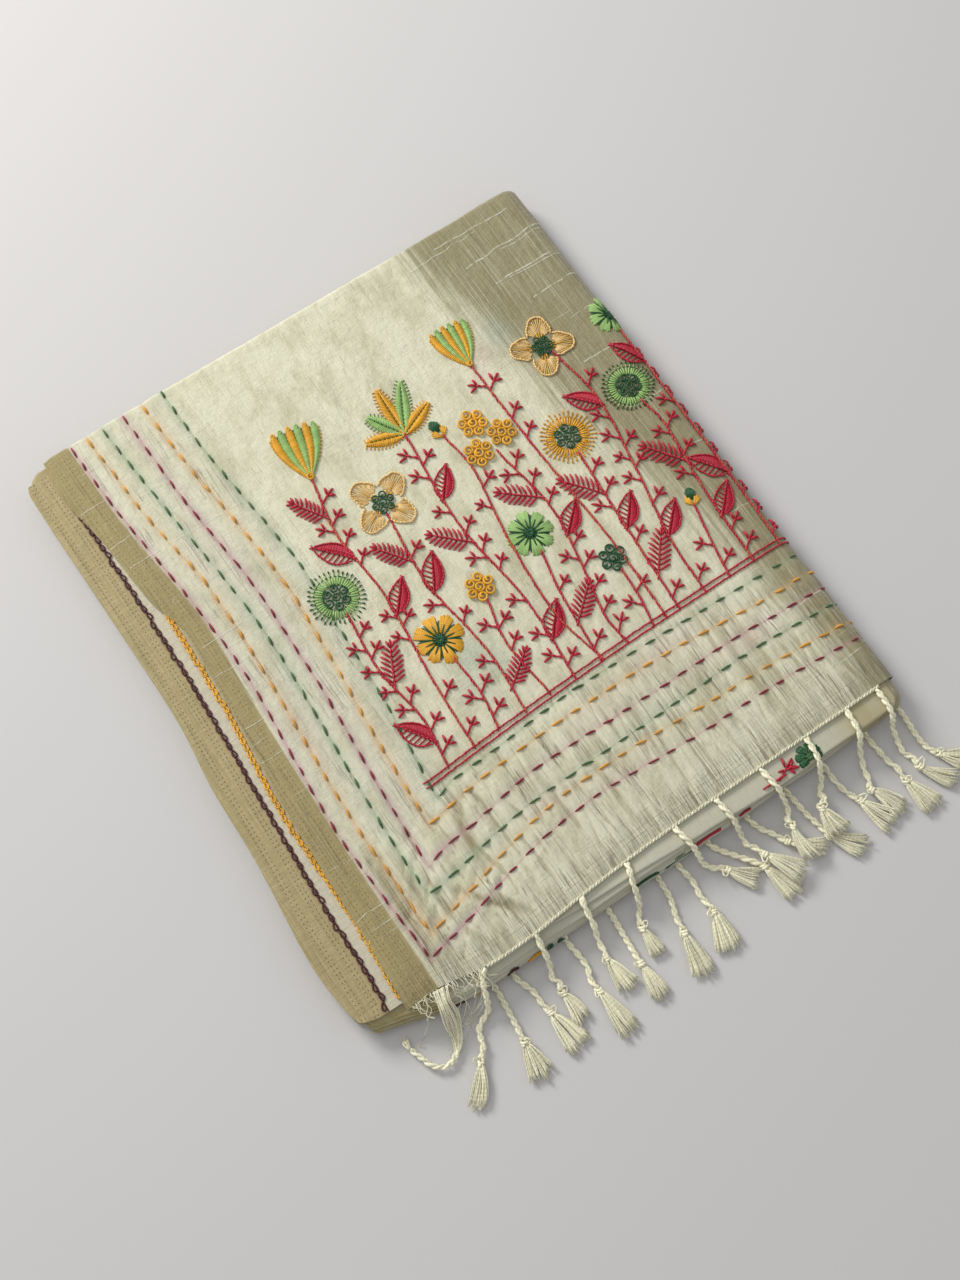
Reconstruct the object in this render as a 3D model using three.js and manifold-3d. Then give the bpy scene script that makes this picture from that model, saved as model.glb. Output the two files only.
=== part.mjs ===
// A saree folded flat into a packet, with its embroidered end outermost.
// Millimetres, +Z up. X runs along the fringed end and Y along the cloth's length.
// The origin is on the surface the packet rests on, under the middle of the packet.

import * as THREE from 'three';
import { mergeVertices } from 'three/addons/utils/BufferGeometryUtils.js';
import Module from 'manifold-3d';

const wasm = await Module();
wasm.setup();

// Driving sizes

const WALL = 1.2;
const SECOND_WALL = 1.0;
const SEAM = 0.3;
const SLACK = 0.25;
const TOP = 16.4;
const BACK_Y = 168;
const SECOND_BACK_Y = 160;
const LIP_RADIUS = 2.2;
const FOLD_X = 146;
const FOLD_REACH = 11;
const FOLD_START_X = FOLD_X - FOLD_REACH;
const FOLD_END_ANGLE = THREE.MathUtils.degToRad(-75);

// The top stretch is higher by its two folds and lower towards its free edges.
const SLOPES = {
  fold: { from: 80, to: 140, rise: 0.7 },
  back: { from: 100, to: 160, rise: 0.6 },
  left: { from: -105, to: -146, rise: -0.9 },
  end: { from: -125, to: -166, rise: -0.4 },
};

const SECOND_DROOP = { from: -142, to: -168, depth: 1.6 };
const SECOND_INNER_X = -78;
const SECOND_RAMP = { from: -20, to: -75 };

const UNDER = { left: -150, front: -167, back: 165.5, right: 137.2 };

const CORNER = 0.045;
const CREASE_INSET = 1.4;
const CROWN_Z = 14.6;
const SECOND_EDGE_DROP = 0.35;

const COLORS = {
  cloth: 0xd7d4be,
  band: 0xa59b6e,
  stack: 0xbebcaf,
  fringe: 0xe6e4c8,
};

// Tables, a row for each section or fold

const table = (columns, rows) => rows.map(
  (row) => Object.fromEntries(columns.map((name, i) => [name, row[i]])));

const FACE_LEFT = table(['at', 'value'], [
  [-166, -145], [-120, -143], [-61, -140.6], [-11, -136], [30, -133.5],
  [51, -132.7], [71, -138.5], [113, -142], [147, -146.8], [168, -144.6],
]);

const FACE_END = table(['at', 'value'], [
  [-146, -165.5], [-128, -165], [-104, -169], [-75, -169], [-47, -166.6],
  [0, -164], [60, -163.6], [146, -163.3],
]);

const SECOND_LEFT = table(['at', 'value'], [
  [-160, -167], [-154, -169], [-130, -170.7], [-66, -165.5], [-25, -164],
  [13, -160], [80, -159.5], [155, -159.5], [160, -158],
]);

const SECOND_END = table(['at', 'value'], [
  [-171, -152], [-166, -158], [-155, -161], [-78, -161],
]);

// Creases of the top stretch: the two ends of each, its half width and its height.
const CREASES = table(['x1', 'y1', 'x2', 'y2', 'half', 'height'], [
  [-78, -160, -80, -104, 3.4, 0.8],
  [-68, -158, -66, -92, 3.0, 0.7],
  [-57, -163, -57, -98, 3.6, 1.0],
  [-45, -160, -46, -88, 3.0, 0.7],
  [-33, -158, -32, -96, 3.4, 0.9],
  [-22, -160, -24, -90, 2.8, 0.6],
  [-12, -158, -11, -86, 3.4, 1.0],
  [0, -158, 0, -94, 3.0, 0.7],
  [12, -159, 11, -88, 3.4, 0.9],
  [23, -156, 23, -96, 2.8, 0.7],
  [35, -158, 36, -84, 3.6, 1.1],
  [47, -158, 47, -92, 3.0, 0.8],
  [59, -157, 60, -86, 3.4, 1.0],
  [71, -158, 71, -94, 2.8, 0.7],
  [82, -157, 83, -84, 3.4, 1.1],
  [92, -158, 92, -92, 2.8, 0.8],
  [102, -156, 103, -86, 3.2, 1.0],
  [112, -158, 112, -90, 2.8, 0.8],
  [122, -157, 123, -84, 3.2, 1.0],
  [-118, -150, -84, -132, 5.0, 1.2],
  [-126, -60, -118, 40, 4.0, 0.6],
  [-104, -110, -96, -10, 4.2, 0.7],
  [-106, 40, -104, 150, 4.0, 0.5],
  [-84, -96, -78, 20, 4.0, 0.6],
]);

// Folded layers that show at the edges, from the lowest up: where each starts,
// how far it comes forward, and how far its left edge stands in from the cloth above.
const LAYERS = table(['z', 'front', 'leftInset', 'back'], [
  [1.5, -168.4, 7.0, 164.6],
  [4.3, -176.6, 2.6, 166.2],
  [6.6, -177.4, 3.4, 166.6],
  [8.8, -176.6, 2.4, 166.2],
  [10.9, -175.6, 3.2, 166.6],
  [12.4, 0, 2.8, 165.2],
]);

// The uppermost layer comes forward on a slant, as a flat band in front of the top stretch.
const CROWN_FRONT = table(['at', 'value'], [
  [-162, -156], [-140, -162.5], [-116, -167.2], [-63, -170.2], [-22, -173.4],
  [30, -175.6], [120, -177.2], [142, -176.6],
]);

// The other layers come less far forward towards the left corner and at the right fold.
const LAYER_DRAW_BACK = table(['at', 'value'], [
  [-162, 11.5], [-150, 8.5], [-135, 4.0], [-122, 1.8], [-100, 0.4], [-80, 0], [120, 0], [142, 1.5],
]);

// Tassels of the upper half: root, bend, knot and tip, each with its place and height.
const TOP_TASSELS = table(
  ['rootX', 'overX', 'bendX', 'bendY', 'bendZ', 'knotX', 'knotY', 'knotZ', 'tipX', 'tipY', 'tipZ'],
  [
    [133, 131, 129, -196, 2.2, 131, -206, 2.6, 138, -221, 2.4],
    [114, 110, 107, -193, 2.2, 104, -202, 2.4, 112, -217, 2.2],
    [89, 85.5, 81, -189.5, 3.6, 77, -195.5, 5.4, 77, -211, 5.2],
    [61, 64, 62, -189.5, 3.6, 60, -195, 5.4, 55, -211, 4.9],
    [34, 36.5, 36, -190, 4.2, 40, -199, 5.8, 50, -213, 4.8],
    [9, 13, 16, -190, 2.4, 21, -194, 2.4, 30, -207, 2.2],
    [-20, -25, -28, -189.5, 2.4, -29.5, -194, 2.4, -30, -208, 2.2],
    [-47, -50, -51, -190, 2.4, -52, -197, 2.4, -51, -211, 2.2],
    [-75, -77, -79, -190, 2.2, -79, -198, 2.4, -76, -212, 2.2],
    [-104, -113, -121, -190, 2.2, -129, -203, 2.4, -139, -218, 2.0],
  ]);

// Tassels of the under half, which come out from beneath the packet.
const UNDER_TASSELS = table(
  ['rootX', 'bendX', 'bendY', 'bendZ', 'knotX', 'knotY', 'knotZ', 'tipX', 'tipY', 'tipZ'],
  [
    [141, 140, -193, 1.9, 143, -206, 2.1, 152, -217, 2.0],
    [119, 120, -195, 1.9, 121, -208, 2.1, 124, -224, 2.0],
    [92, 92, -190, 1.9, 96, -203, 2.1, 101, -220, 2.0],
    [69, 70, -193, 1.9, 73, -208, 2.1, 81, -223, 2.0],
    [45, 47, -187, 1.9, 54, -200, 2.1, 66, -213, 2.0],
    [22, 28, -190, 1.9, 37, -203, 2.1, 42, -223, 2.0],
    [3, 4, -190, 1.9, 4, -207, 2.1, 1, -225, 2.0],
    [-9, -10, -191, 1.9, -14, -207, 2.1, -17, -226, 2.0],
    [-38, -39, -193, 1.9, -40, -208, 2.1, -40, -224, 2.0],
    [-63, -62, -194, 1.9, -64, -207, 2.1, -63, -229, 2.0],
    [-93, -90, -190, 1.9, -89, -203, 2.1, -86, -221, 2.0],
    [-104, -105, -191, 1.9, -107, -207, 2.1, -109, -224, 2.0],
  ]);

// The loose bunch at the left corner follows a loop, and its strands lie side by side.
const LOOSE_BUNCH = table(['x', 'y', 'z'], [
  [-128, -167, 15.0], [-129, -173.5, 14.0], [-130, -180, 9.4], [-131, -185.5, 3.4],
  [-135, -193, 2.2], [-142, -196, 2.2], [-148, -193, 2.2], [-151, -186, 2.2],
  [-153, -180, 2.2],
]);

const CORD = { wide: 1.65, narrow: 1.1, turn: THREE.MathUtils.degToRad(45), steps: 9 };
const KNOT = { length: 5.2, radius: 2.2 };
const BRUSH = { strands: 4, gathered: 1.6, spread: 5.2, root: 0.62, tip: 0.5, lift: 0.9 };
const BUNCH = { strands: 6, pitch: 2.1, radius: 0.7 };
const TOP_STRIP = { size: 0.9, clear: 0.65, drop: 0.5, left: -142, right: 135, steps: 24 };
const UNDER_STRIP = { z: 0.78, half: 0.42, left: -112, right: 142, near: -167.4, far: -170.6 };

// Curves through a table, and easing

const clamp01 = (t) => Math.min(1, Math.max(0, t));

const ease = (from, to, value) => {
  const t = clamp01((value - from) / (to - from));
  return t * t * (3 - 2 * t);
};

const along = (rows, at) => {
  if (at <= rows[0].at) return rows[0].value;
  const last = rows.length - 1;
  if (at >= rows[last].at) return rows[last].value;
  const i = rows.findIndex((row) => row.at > at) - 1;
  const slope = (k) => {
    const a = rows[Math.max(0, k - 1)];
    const b = rows[Math.min(last, k + 1)];
    return (b.value - a.value) / (b.at - a.at);
  };
  const span = rows[i + 1].at - rows[i].at;
  const t = (at - rows[i].at) / span;
  const start = rows[i].value;
  const end = rows[i + 1].value;
  const bend = t * (1 - t) * (1 - t) * slope(i) - t * t * (1 - t) * slope(i + 1);
  return start + (end - start) * t * t * (3 - 2 * t) + span * bend;
};

// Heights of the cloth

const creaseHeight = (x, y) => {
  let height = 0;
  for (const crease of CREASES) {
    const dx = crease.x2 - crease.x1;
    const dy = crease.y2 - crease.y1;
    const long = Math.hypot(dx, dy);
    const t = ((x - crease.x1) * dx + (y - crease.y1) * dy) / (long * long);
    if (t <= 0 || t >= 1) continue;
    const side = ((x - crease.x1) * dy - (y - crease.y1) * dx) / long;
    const fade = Math.sin(Math.PI * t) ** 0.6;
    height += crease.height * fade * Math.exp(-((side / crease.half) ** 2));
  }
  return height;
};

const faceBase = (x, y) => {
  const { fold, back, left, end } = SLOPES;
  return TOP
    + fold.rise * ease(fold.from, fold.to, x)
    + back.rise * ease(back.from, back.to, y)
    + left.rise * ease(left.from, left.to, x)
    + end.rise * ease(end.from, end.to, y);
};

const secondTop = (x, y) => {
  const { from, to, depth } = SECOND_DROOP;
  return faceBase(x, y) - WALL - SEAM - SLACK / 2 - depth * ease(from, to, x);
};

const stackTop = (x, y) => {
  const under = (SECOND_WALL + SEAM + SLACK) * ease(SECOND_RAMP.from, SECOND_RAMP.to, x);
  return secondTop(x, y) - SLACK - under;
};

// Mesh builders

const meshGeometry = (points, triangles) => {
  const geometry = new THREE.BufferGeometry();
  geometry.setAttribute('position', new THREE.Float32BufferAttribute(points.flat(), 3));
  geometry.setIndex(triangles.flat());
  return geometry;
};

// A wall between two grids of points of the same size, closed round its edge.
// The outer grid is seen from outside with its rows to the left of its columns.
const wallBetween = (outer, inner) => {
  const rows = outer.length;
  const columns = outer[0].length;
  const points = [...outer.flat(), ...inner.flat()];
  const triangles = [];
  const shift = rows * columns;
  const index = (r, c) => r * columns + c;
  for (let r = 0; r < rows - 1; r++) {
    for (let c = 0; c < columns - 1; c++) {
      const [a, b] = [index(r, c), index(r, c + 1)];
      const [d, e] = [index(r + 1, c), index(r + 1, c + 1)];
      triangles.push([a, b, e], [a, e, d]);
      triangles.push([a + shift, e + shift, b + shift], [a + shift, d + shift, e + shift]);
    }
  }
  const rim = [];
  for (let c = 0; c < columns - 1; c++) rim.push(index(0, c));
  for (let r = 0; r < rows - 1; r++) rim.push(index(r, columns - 1));
  for (let c = columns - 1; c > 0; c--) rim.push(index(rows - 1, c));
  for (let r = rows - 1; r > 0; r--) rim.push(index(r, 0));
  rim.forEach((a, i) => {
    const b = rim[(i + 1) % rim.length];
    triangles.push([a, a + shift, b + shift], [a, b + shift, b]);
  });
  return meshGeometry(points, triangles);
};

// A body through closed rings of the same count, with a point at each end.
const loft = (rings, first, last) => {
  const count = rings[0].length;
  const points = [...rings.flat(), first, last];
  const triangles = [];
  const firstIndex = rings.length * count;
  for (let r = 0; r < rings.length - 1; r++) {
    for (let i = 0; i < count; i++) {
      const j = (i + 1) % count;
      const [a, b] = [r * count + i, r * count + j];
      const [d, e] = [(r + 1) * count + i, (r + 1) * count + j];
      triangles.push([a, b, e], [a, e, d]);
    }
  }
  const top = (rings.length - 1) * count;
  for (let i = 0; i < count; i++) {
    const j = (i + 1) % count;
    triangles.push([firstIndex, j, i], [firstIndex + 1, top + i, top + j]);
  }
  return meshGeometry(points, triangles);
};

// A strand of a few sides along a route, twisted as it goes.
const strand = (route, section) => {
  const rings = route.map((here, i) => {
    const before = route[Math.max(0, i - 1)];
    const after = route[Math.min(route.length - 1, i + 1)];
    const tangent = new THREE.Vector3().subVectors(after, before).normalize();
    const side = new THREE.Vector3().crossVectors(new THREE.Vector3(0, 0, 1), tangent);
    side.normalize();
    const up = new THREE.Vector3().crossVectors(tangent, side);
    return section(i / (route.length - 1), i).map(([s, u]) => new THREE.Vector3()
      .copy(here).addScaledVector(side, s).addScaledVector(up, u).toArray());
  });
  return loft(rings, route[0].toArray(), route[route.length - 1].toArray());
};

const polygon = (sides, wide, narrow, turn) => Array.from({ length: sides }, (_, k) => {
  const angle = (2 * Math.PI * k) / sides;
  const [s, u] = [wide * Math.cos(angle), narrow * Math.sin(angle)];
  return [s * Math.cos(turn) - u * Math.sin(turn), s * Math.sin(turn) + u * Math.cos(turn)];
});

const smoothRoute = (points, steps) => new THREE.CatmullRomCurve3(points, false, 'centripetal')
  .getSpacedPoints(steps);

// Joins closed pieces into one solid.
const asManifold = (geometry) => {
  const bare = geometry.clone();
  bare.deleteAttribute('normal');
  bare.deleteAttribute('uv');
  const merged = mergeVertices(bare, 1e-4);
  return new wasm.Manifold(new wasm.Mesh({
    numProp: 3,
    vertProperties: new Float32Array(merged.attributes.position.array),
    triVerts: new Uint32Array(merged.index.array),
  }));
};

const fuse = (geometries) => {
  const joined = geometries.map(asManifold).reduce((a, b) => a.add(b)).getMesh();
  const geometry = new THREE.BufferGeometry();
  geometry.setAttribute('position', new THREE.BufferAttribute(joined.vertProperties, 3));
  geometry.setIndex(new THREE.BufferAttribute(joined.triVerts, 1));
  return geometry;
};

// Top stretch: flat over the packet, round the right fold, lipped at the back fold

// The columns stand on each crest and on its two flanks, and fill the wider gaps.
const faceColumns = () => {
  const marks = [];
  for (const crease of CREASES.filter((row) => row.x1 > -82)) {
    const x = (crease.x1 + crease.x2) / 2;
    marks.push(x - crease.half * 1.3, x, x + crease.half * 1.3);
  }
  const left = [0, 0.1, 0.22, 0.34, 0.46, 0.58, 0.7, 0.82, 0.92];
  const sorted = marks.sort((a, b) => a - b);
  const kept = sorted.filter((x, i) => i === 0 || x - sorted[i - 1] > 1.2);
  return [
    ...left.map((t) => ({ share: t })),
    ...kept.map((x) => ({ x })),
    { x: FOLD_START_X },
    ...[70, 50, 30, 10, -12, -34, -55, -75].map(
      (angle) => ({ angle: THREE.MathUtils.degToRad(angle) })),
  ];
};

const FACE_ROWS = [0, 5, 14, 27, 42, 58, 72, 90, 135, 190, 250, 300];
const LIP_ANGLES = [0, 30, 60, 90].map(THREE.MathUtils.degToRad);

// A point on the outer skin of the top stretch and the direction out of it.
const faceSkin = (column, y, firstX) => {
  if (column.angle === undefined) {
    const edge = along(FACE_LEFT, y);
    const x = column.x === undefined ? edge + (firstX - edge) * column.share : column.x;
    return { x, z: faceBase(x, y) + creaseHeight(x, y), out: [0, 1] };
  }
  const half = faceBase(FOLD_START_X, y) / 2;
  const [c, s] = [Math.cos(column.angle), Math.sin(column.angle)];
  const out = [c / FOLD_REACH, s / half];
  const length = Math.hypot(...out);
  return {
    x: FOLD_START_X + FOLD_REACH * c,
    z: half + half * s,
    out: out.map((value) => value / length),
  };
};

const palluFace = () => {
  const columns = faceColumns();
  const firstX = columns.find((column) => column.x !== undefined).x;
  const lipY = BACK_Y - LIP_RADIUS;
  const grid = (depth) => {
    const place = (column, y, drop) => {
      const { x, z, out } = faceSkin(column, y, firstX);
      return [x - out[0] * drop, y, z - out[1] * drop];
    };
    const flat = FACE_ROWS.map((share) => columns.map((column) => {
      const x = column.angle === undefined ? faceSkin(column, -166, firstX).x : FOLD_X;
      const end = along(FACE_END, x);
      const y = end + (lipY - end) * (share / 330);
      return place(column, y, depth);
    }));
    const lip = LIP_ANGLES.map((angle) => columns.map((column) => {
      const { x, z, out } = faceSkin(column, lipY, firstX);
      const radius = LIP_RADIUS - depth;
      const drop = LIP_RADIUS - radius * Math.cos(angle);
      return [x - out[0] * drop, lipY + radius * Math.sin(angle), z - out[1] * drop];
    }));
    return [...flat, ...lip];
  };
  return wallBetween(grid(0), grid(WALL));
};

// Second stretch: the wrong side of the other half, which comes out at the left

const secondStretch = () => {
  const shares = [0, 0.04, 0.1, 0.2, 0.32, 0.5, 0.75, 1];
  const rows = [0, 0.012, 0.04, 0.08, 0.15, 0.24, 0.34, 0.44, 0.54, 0.64, 0.74, 0.84, 0.93, 0.985, 1];
  const grid = (depth) => rows.map((row) => shares.map((share) => {
    const rough = SECOND_END[0].at + (SECOND_INNER_X - SECOND_END[0].at) * share;
    const end = along(SECOND_END, rough);
    const y = end + (SECOND_BACK_Y - end) * row;
    const left = along(SECOND_LEFT, y);
    const x = left + (SECOND_INNER_X - left) * share;
    const edgeDrop = share === 0 ? SECOND_EDGE_DROP * (1 - depth / SECOND_WALL) : 0;
    return [x, y, secondTop(x, y) - edgeDrop - depth];
  }));
  return wallBetween(grid(0), grid(SECOND_WALL));
};

// Inner layers: one rounded solid whose edge is layered

// Places round a square from -1 to 1 with small round corners, anticlockwise.
const unitLoop = () => {
  const sides = [
    { from: [-1, -1], to: [1, -1], count: 18 },
    { from: [1, -1], to: [1, 1], count: 8 },
    { from: [1, 1], to: [-1, 1], count: 12 },
    { from: [-1, 1], to: [-1, -1], count: 14 },
  ];
  const places = [];
  sides.forEach(({ from, to, count }, side) => {
    const [dx, dy] = [(to[0] - from[0]) / 2, (to[1] - from[1]) / 2];
    for (let i = 0; i <= count; i++) {
      const t = CORNER + (2 - 2 * CORNER) * (i / count);
      places.push([from[0] + dx * t, from[1] + dy * t]);
    }
    const next = sides[(side + 1) % 4];
    const [nx, ny] = [(next.to[0] - next.from[0]) / 2, (next.to[1] - next.from[1]) / 2];
    for (const degrees of [30, 60]) {
      const angle = THREE.MathUtils.degToRad(degrees);
      const [s, c] = [CORNER * Math.sin(angle), CORNER * (1 - Math.cos(angle))];
      places.push([
        to[0] - dx * CORNER + dx * s + nx * c,
        to[1] - dy * CORNER + dy * s + ny * c,
      ]);
    }
  });
  return places;
};

const stackRightX = (z, y) => {
  const half = faceBase(FOLD_START_X, y) / 2;
  const inset = WALL + SEAM + 2 * SLACK;
  const level = Math.min(0.999, Math.abs(z - half) / (half - inset));
  return FOLD_START_X + (FOLD_REACH - inset) * Math.sqrt(1 - level * level);
};

const innerStack = () => {
  const loop = unitLoop();
  const bottomZ = LAYERS[0].z;
  const crown = LAYERS[LAYERS.length - 1];
  const frontOf = (layer, x) => (layer === crown
    ? along(CROWN_FRONT, x) : layer.front + along(LAYER_DRAW_BACK, x));
  const place = ([a, b], layer, inset, z, shrink) => {
    const [u, v] = [(a * shrink + 1) / 2, (b * shrink + 1) / 2];
    const roughX = SECOND_LEFT[0].value + (FOLD_X - SECOND_LEFT[0].value) * u;
    const front = frontOf(layer, roughX) + inset;
    const back = layer.back - inset;
    const y = front + (back - front) * v;
    const left = along(SECOND_LEFT, y) + layer.leftInset + inset;
    const right = stackRightX(z, y) - inset;
    return [left + (right - left) * u, y];
  };
  const ringAt = (layer, inset, z) => loop.map((spot) => {
    const [x, y] = place(spot, layer, inset, z, 1);
    const tall = (stackTop(x, y) - bottomZ) / (CROWN_Z - bottomZ);
    return [x, y, bottomZ + (z - bottomZ) * Math.min(1, tall)];
  });
  const rings = [];
  LAYERS.forEach((layer, i) => {
    const above = LAYERS[i + 1];
    if (i === 0) rings.push(ringAt(layer, 1.2, layer.z));
    if (!above) return;
    const tall = above.z - layer.z;
    rings.push(ringAt(layer, 0.35, layer.z + tall * 0.25));
    rings.push(ringAt(layer, 0.35, layer.z + tall * 0.72));
    rings.push(ringAt(above === crown || i === 0 ? layer : above, CREASE_INSET, above.z));
  });
  const foldTop = stackTop(FOLD_START_X, 0);
  const topRing = (shrink, inset, lower) => loop.map((spot) => {
    const [x, y] = place(spot, crown, inset, foldTop - lower, shrink);
    return [x, y, stackTop(x, y) - lower];
  });
  rings.push(topRing(1, 0.3, 1.1), topRing(1, 0.8, 0.35));
  for (const shrink of [0.97, 0.82, 0.6, 0.32]) rings.push(topRing(shrink, 0.8, 0));
  const middle = place([0, 0], crown, 0, crown.z, 1);
  const bottom = [0, 0, bottomZ];
  return loft(rings, bottom, [...middle, stackTop(...middle)]);
};

// Under stretch: the other face of the folded end, flat on the surface

const palluUnderside = () => {
  const xs = [0, 0.08, 0.25, 0.42, 0.58, 0.75, 0.92, 1];
  const ys = [0, 0.05, 0.2, 0.4, 0.6, 0.8, 0.95, 1];
  const grid = (z) => ys.map((v) => xs.map((u) => {
    const round = (u === 0 || u === 1) && (v === 0 || v === 1) ? 2.5 : 0;
    const x = UNDER.left + (UNDER.right - UNDER.left) * u + (u === 0 ? round : -round);
    const y = UNDER.front + (UNDER.back - UNDER.front) * v + (v === 0 ? round : -round);
    return [x, y, z];
  }));
  return wallBetween(grid(WALL), grid(0));
};

// Fringe: twisted cords, each with a knot and a brush of loose strands

const vector = (x, y, z) => new THREE.Vector3(x, y, z);

const tassel = (route, knot, tip) => {
  const cord = strand(smoothRoute([...route, knot], CORD.steps),
    (t, i) => polygon(4, CORD.wide, CORD.narrow, CORD.turn * i));
  const heading = new THREE.Vector3().subVectors(tip, knot);
  const reach = heading.length();
  heading.normalize();
  const knotRoute = [-0.5, 0, 0.5].map(
    (t) => knot.clone().addScaledVector(heading, t * KNOT.length));
  const bulge = [0.88, 1, 0.95];
  const head = strand(knotRoute,
    (t, i) => polygon(5, KNOT.radius * bulge[i], KNOT.radius * 0.8 * bulge[i], 0));
  const side = new THREE.Vector3().crossVectors(heading, vector(0, 0, 1)).normalize();
  const brush = Array.from({ length: BRUSH.strands }, (_, k) => {
    const fan = (k / (BRUSH.strands - 1)) * 2 - 1;
    const reached = reach * (1 - 0.12 * fan * fan - 0.06 * (k % 2));
    const lift = BRUSH.lift * ((k % 2) - 0.4);
    const at = (share, lateral) => knot.clone()
      .addScaledVector(heading, reached * share)
      .addScaledVector(side, fan * lateral)
      .add(vector(0, 0, lift));
    return strand([at(0, BRUSH.gathered), at(1, BRUSH.spread)],
      (t) => polygon(3, BRUSH.root + (BRUSH.tip - BRUSH.root) * t,
        BRUSH.root + (BRUSH.tip - BRUSH.root) * t, Math.PI / 2));
  });
  return [cord, head, ...brush];
};

const topStripPoint = (x) => vector(
  x,
  along(FACE_END, x) - TOP_STRIP.clear - TOP_STRIP.size,
  faceBase(x, along(FACE_END, x)) - TOP_STRIP.drop,
);

const fringeTop = () => {
  const { size, left, right, steps } = TOP_STRIP;
  const stations = Array.from({ length: steps + 1 }, (_, i) => topStripPoint(
    left + (right - left) * (i / steps)));
  const pieces = [strand(stations, () => polygon(4, size * 1.2, size * 1.2, Math.PI / 4))];
  for (const row of TOP_TASSELS) {
    const root = topStripPoint(row.rootX);
    const bandY = Math.min(along(CROWN_FRONT, row.rootX), along(FACE_END, row.rootX) - 5);
    const bandZ = stackTop(row.rootX, bandY);
    const across = (share) => row.rootX + (row.overX - row.rootX) * share;
    const route = [
      root,
      vector(across(0.3), bandY + 2.8, bandZ + 2.2),
      vector(across(0.6), bandY - 2.7, bandZ + 0.3),
      vector(across(0.8), Math.min(bandY - 4.2, -182), 9.4),
      vector(row.overX, -185.5, 4.0),
      vector(row.bendX, row.bendY, row.bendZ),
    ];
    pieces.push(...tassel(route, vector(row.knotX, row.knotY, row.knotZ),
      vector(row.tipX, row.tipY, row.tipZ)));
  }
  const loop = LOOSE_BUNCH.map(({ x, y, z }) => vector(x, y, z));
  for (let k = 0; k < BUNCH.strands; k++) {
    const share = k / (BUNCH.strands - 1) - 0.5;
    const route = loop.map((point, i) => {
      const open = Math.min(1, i / 2);
      const offset = share * BUNCH.pitch * (BUNCH.strands - 1) * open;
      return point.clone().add(vector(offset * 0.55, offset * 0.75, 0));
    });
    route[0] = topStripPoint(-128 + share * 4);
    pieces.push(strand(smoothRoute(route, 9),
      () => polygon(3, BUNCH.radius, BUNCH.radius, Math.PI / 2)));
  }
  return fuse(pieces);
};

const fringeUnder = () => {
  const { z, half, left, right, near, far } = UNDER_STRIP;
  const strip = new THREE.BoxGeometry(right - left, near - far, 2 * half);
  strip.translate((left + right) / 2, (near + far) / 2, z);
  const pieces = [strip];
  for (const row of UNDER_TASSELS) {
    const route = [
      vector(row.rootX, far + 0.6, 1.75),
      vector(row.rootX, far - 4, 1.9),
      vector(row.rootX, -181, 1.9),
      vector(row.bendX, row.bendY, row.bendZ),
    ];
    pieces.push(...tassel(route, vector(row.knotX, row.knotY, row.knotZ),
      vector(row.tipX, row.tipY, row.tipZ)));
  }
  return fuse(pieces);
};

// The saree

const cloth = (color, roughness) => new THREE.MeshStandardMaterial({
  color, roughness, metalness: 0,
});

const saree = new THREE.Group();
const add = (name, geometry, material) => {
  const mesh = new THREE.Mesh(geometry, material);
  mesh.name = name;
  saree.add(mesh);
};

add('pallu_face', palluFace(), cloth(COLORS.cloth, 0.62));
add('pallu_underside', palluUnderside(), cloth(COLORS.cloth, 0.62));
add('second_stretch', secondStretch(), cloth(COLORS.band, 0.6));
add('inner_stack', innerStack(), cloth(COLORS.stack, 0.75));
add('fringe_top', fringeTop(), cloth(COLORS.fringe, 0.5));
add('fringe_under', fringeUnder(), cloth(COLORS.fringe, 0.5));

export default saree;
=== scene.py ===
"""A saree folded flat into a packet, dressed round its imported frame.

Lengths in this script are millimetres until a mesh is made. Places on the cloth are
given as (s, y): s runs across the cloth from left to right and on round the right
fold, and y runs along the cloth's length, away from the fringe.
"""

import math

import bpy
import numpy as np
from mathutils import Matrix, Vector


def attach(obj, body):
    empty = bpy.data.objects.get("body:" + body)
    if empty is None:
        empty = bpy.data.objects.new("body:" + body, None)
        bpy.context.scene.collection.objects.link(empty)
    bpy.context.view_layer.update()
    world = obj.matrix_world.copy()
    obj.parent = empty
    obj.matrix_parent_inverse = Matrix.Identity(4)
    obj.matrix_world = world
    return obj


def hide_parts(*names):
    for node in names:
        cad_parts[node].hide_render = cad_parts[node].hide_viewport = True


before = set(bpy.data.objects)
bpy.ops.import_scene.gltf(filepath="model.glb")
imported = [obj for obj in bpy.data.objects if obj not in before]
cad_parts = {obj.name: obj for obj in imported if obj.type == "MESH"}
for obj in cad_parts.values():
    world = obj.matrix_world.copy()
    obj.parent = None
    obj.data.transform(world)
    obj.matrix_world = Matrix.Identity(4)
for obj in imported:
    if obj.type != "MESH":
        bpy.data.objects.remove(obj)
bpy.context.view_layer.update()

MM = 0.001
SEED = 7
rng = np.random.default_rng(SEED)

# Sizes that the solids share

WALL = 1.2
SHEET = 0.55
SEAM = 0.3
SLACK = 0.25
SECOND_WALL = 1.0
TOP = 16.4
BACK_Y = 168.0
SECOND_BACK_Y = 160.0
LIP_RADIUS = 2.2
FOLD_X = 146.0
FOLD_REACH = 11.0
FOLD_START_X = FOLD_X - FOLD_REACH
SLOPES = {
    "fold": (80, 140, 0.7),
    "back": (100, 160, 0.6),
    "left": (-105, -146, -0.9),
    "end": (-125, -166, -0.4),
}
SECOND_DROOP = (-142, -168, 1.6)
SECOND_RAMP = (-20, -75)
SECOND_INNER_X = -78.0
FRONT_Y = -166.0
STITCH_BACK_Y = 168.6

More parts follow.
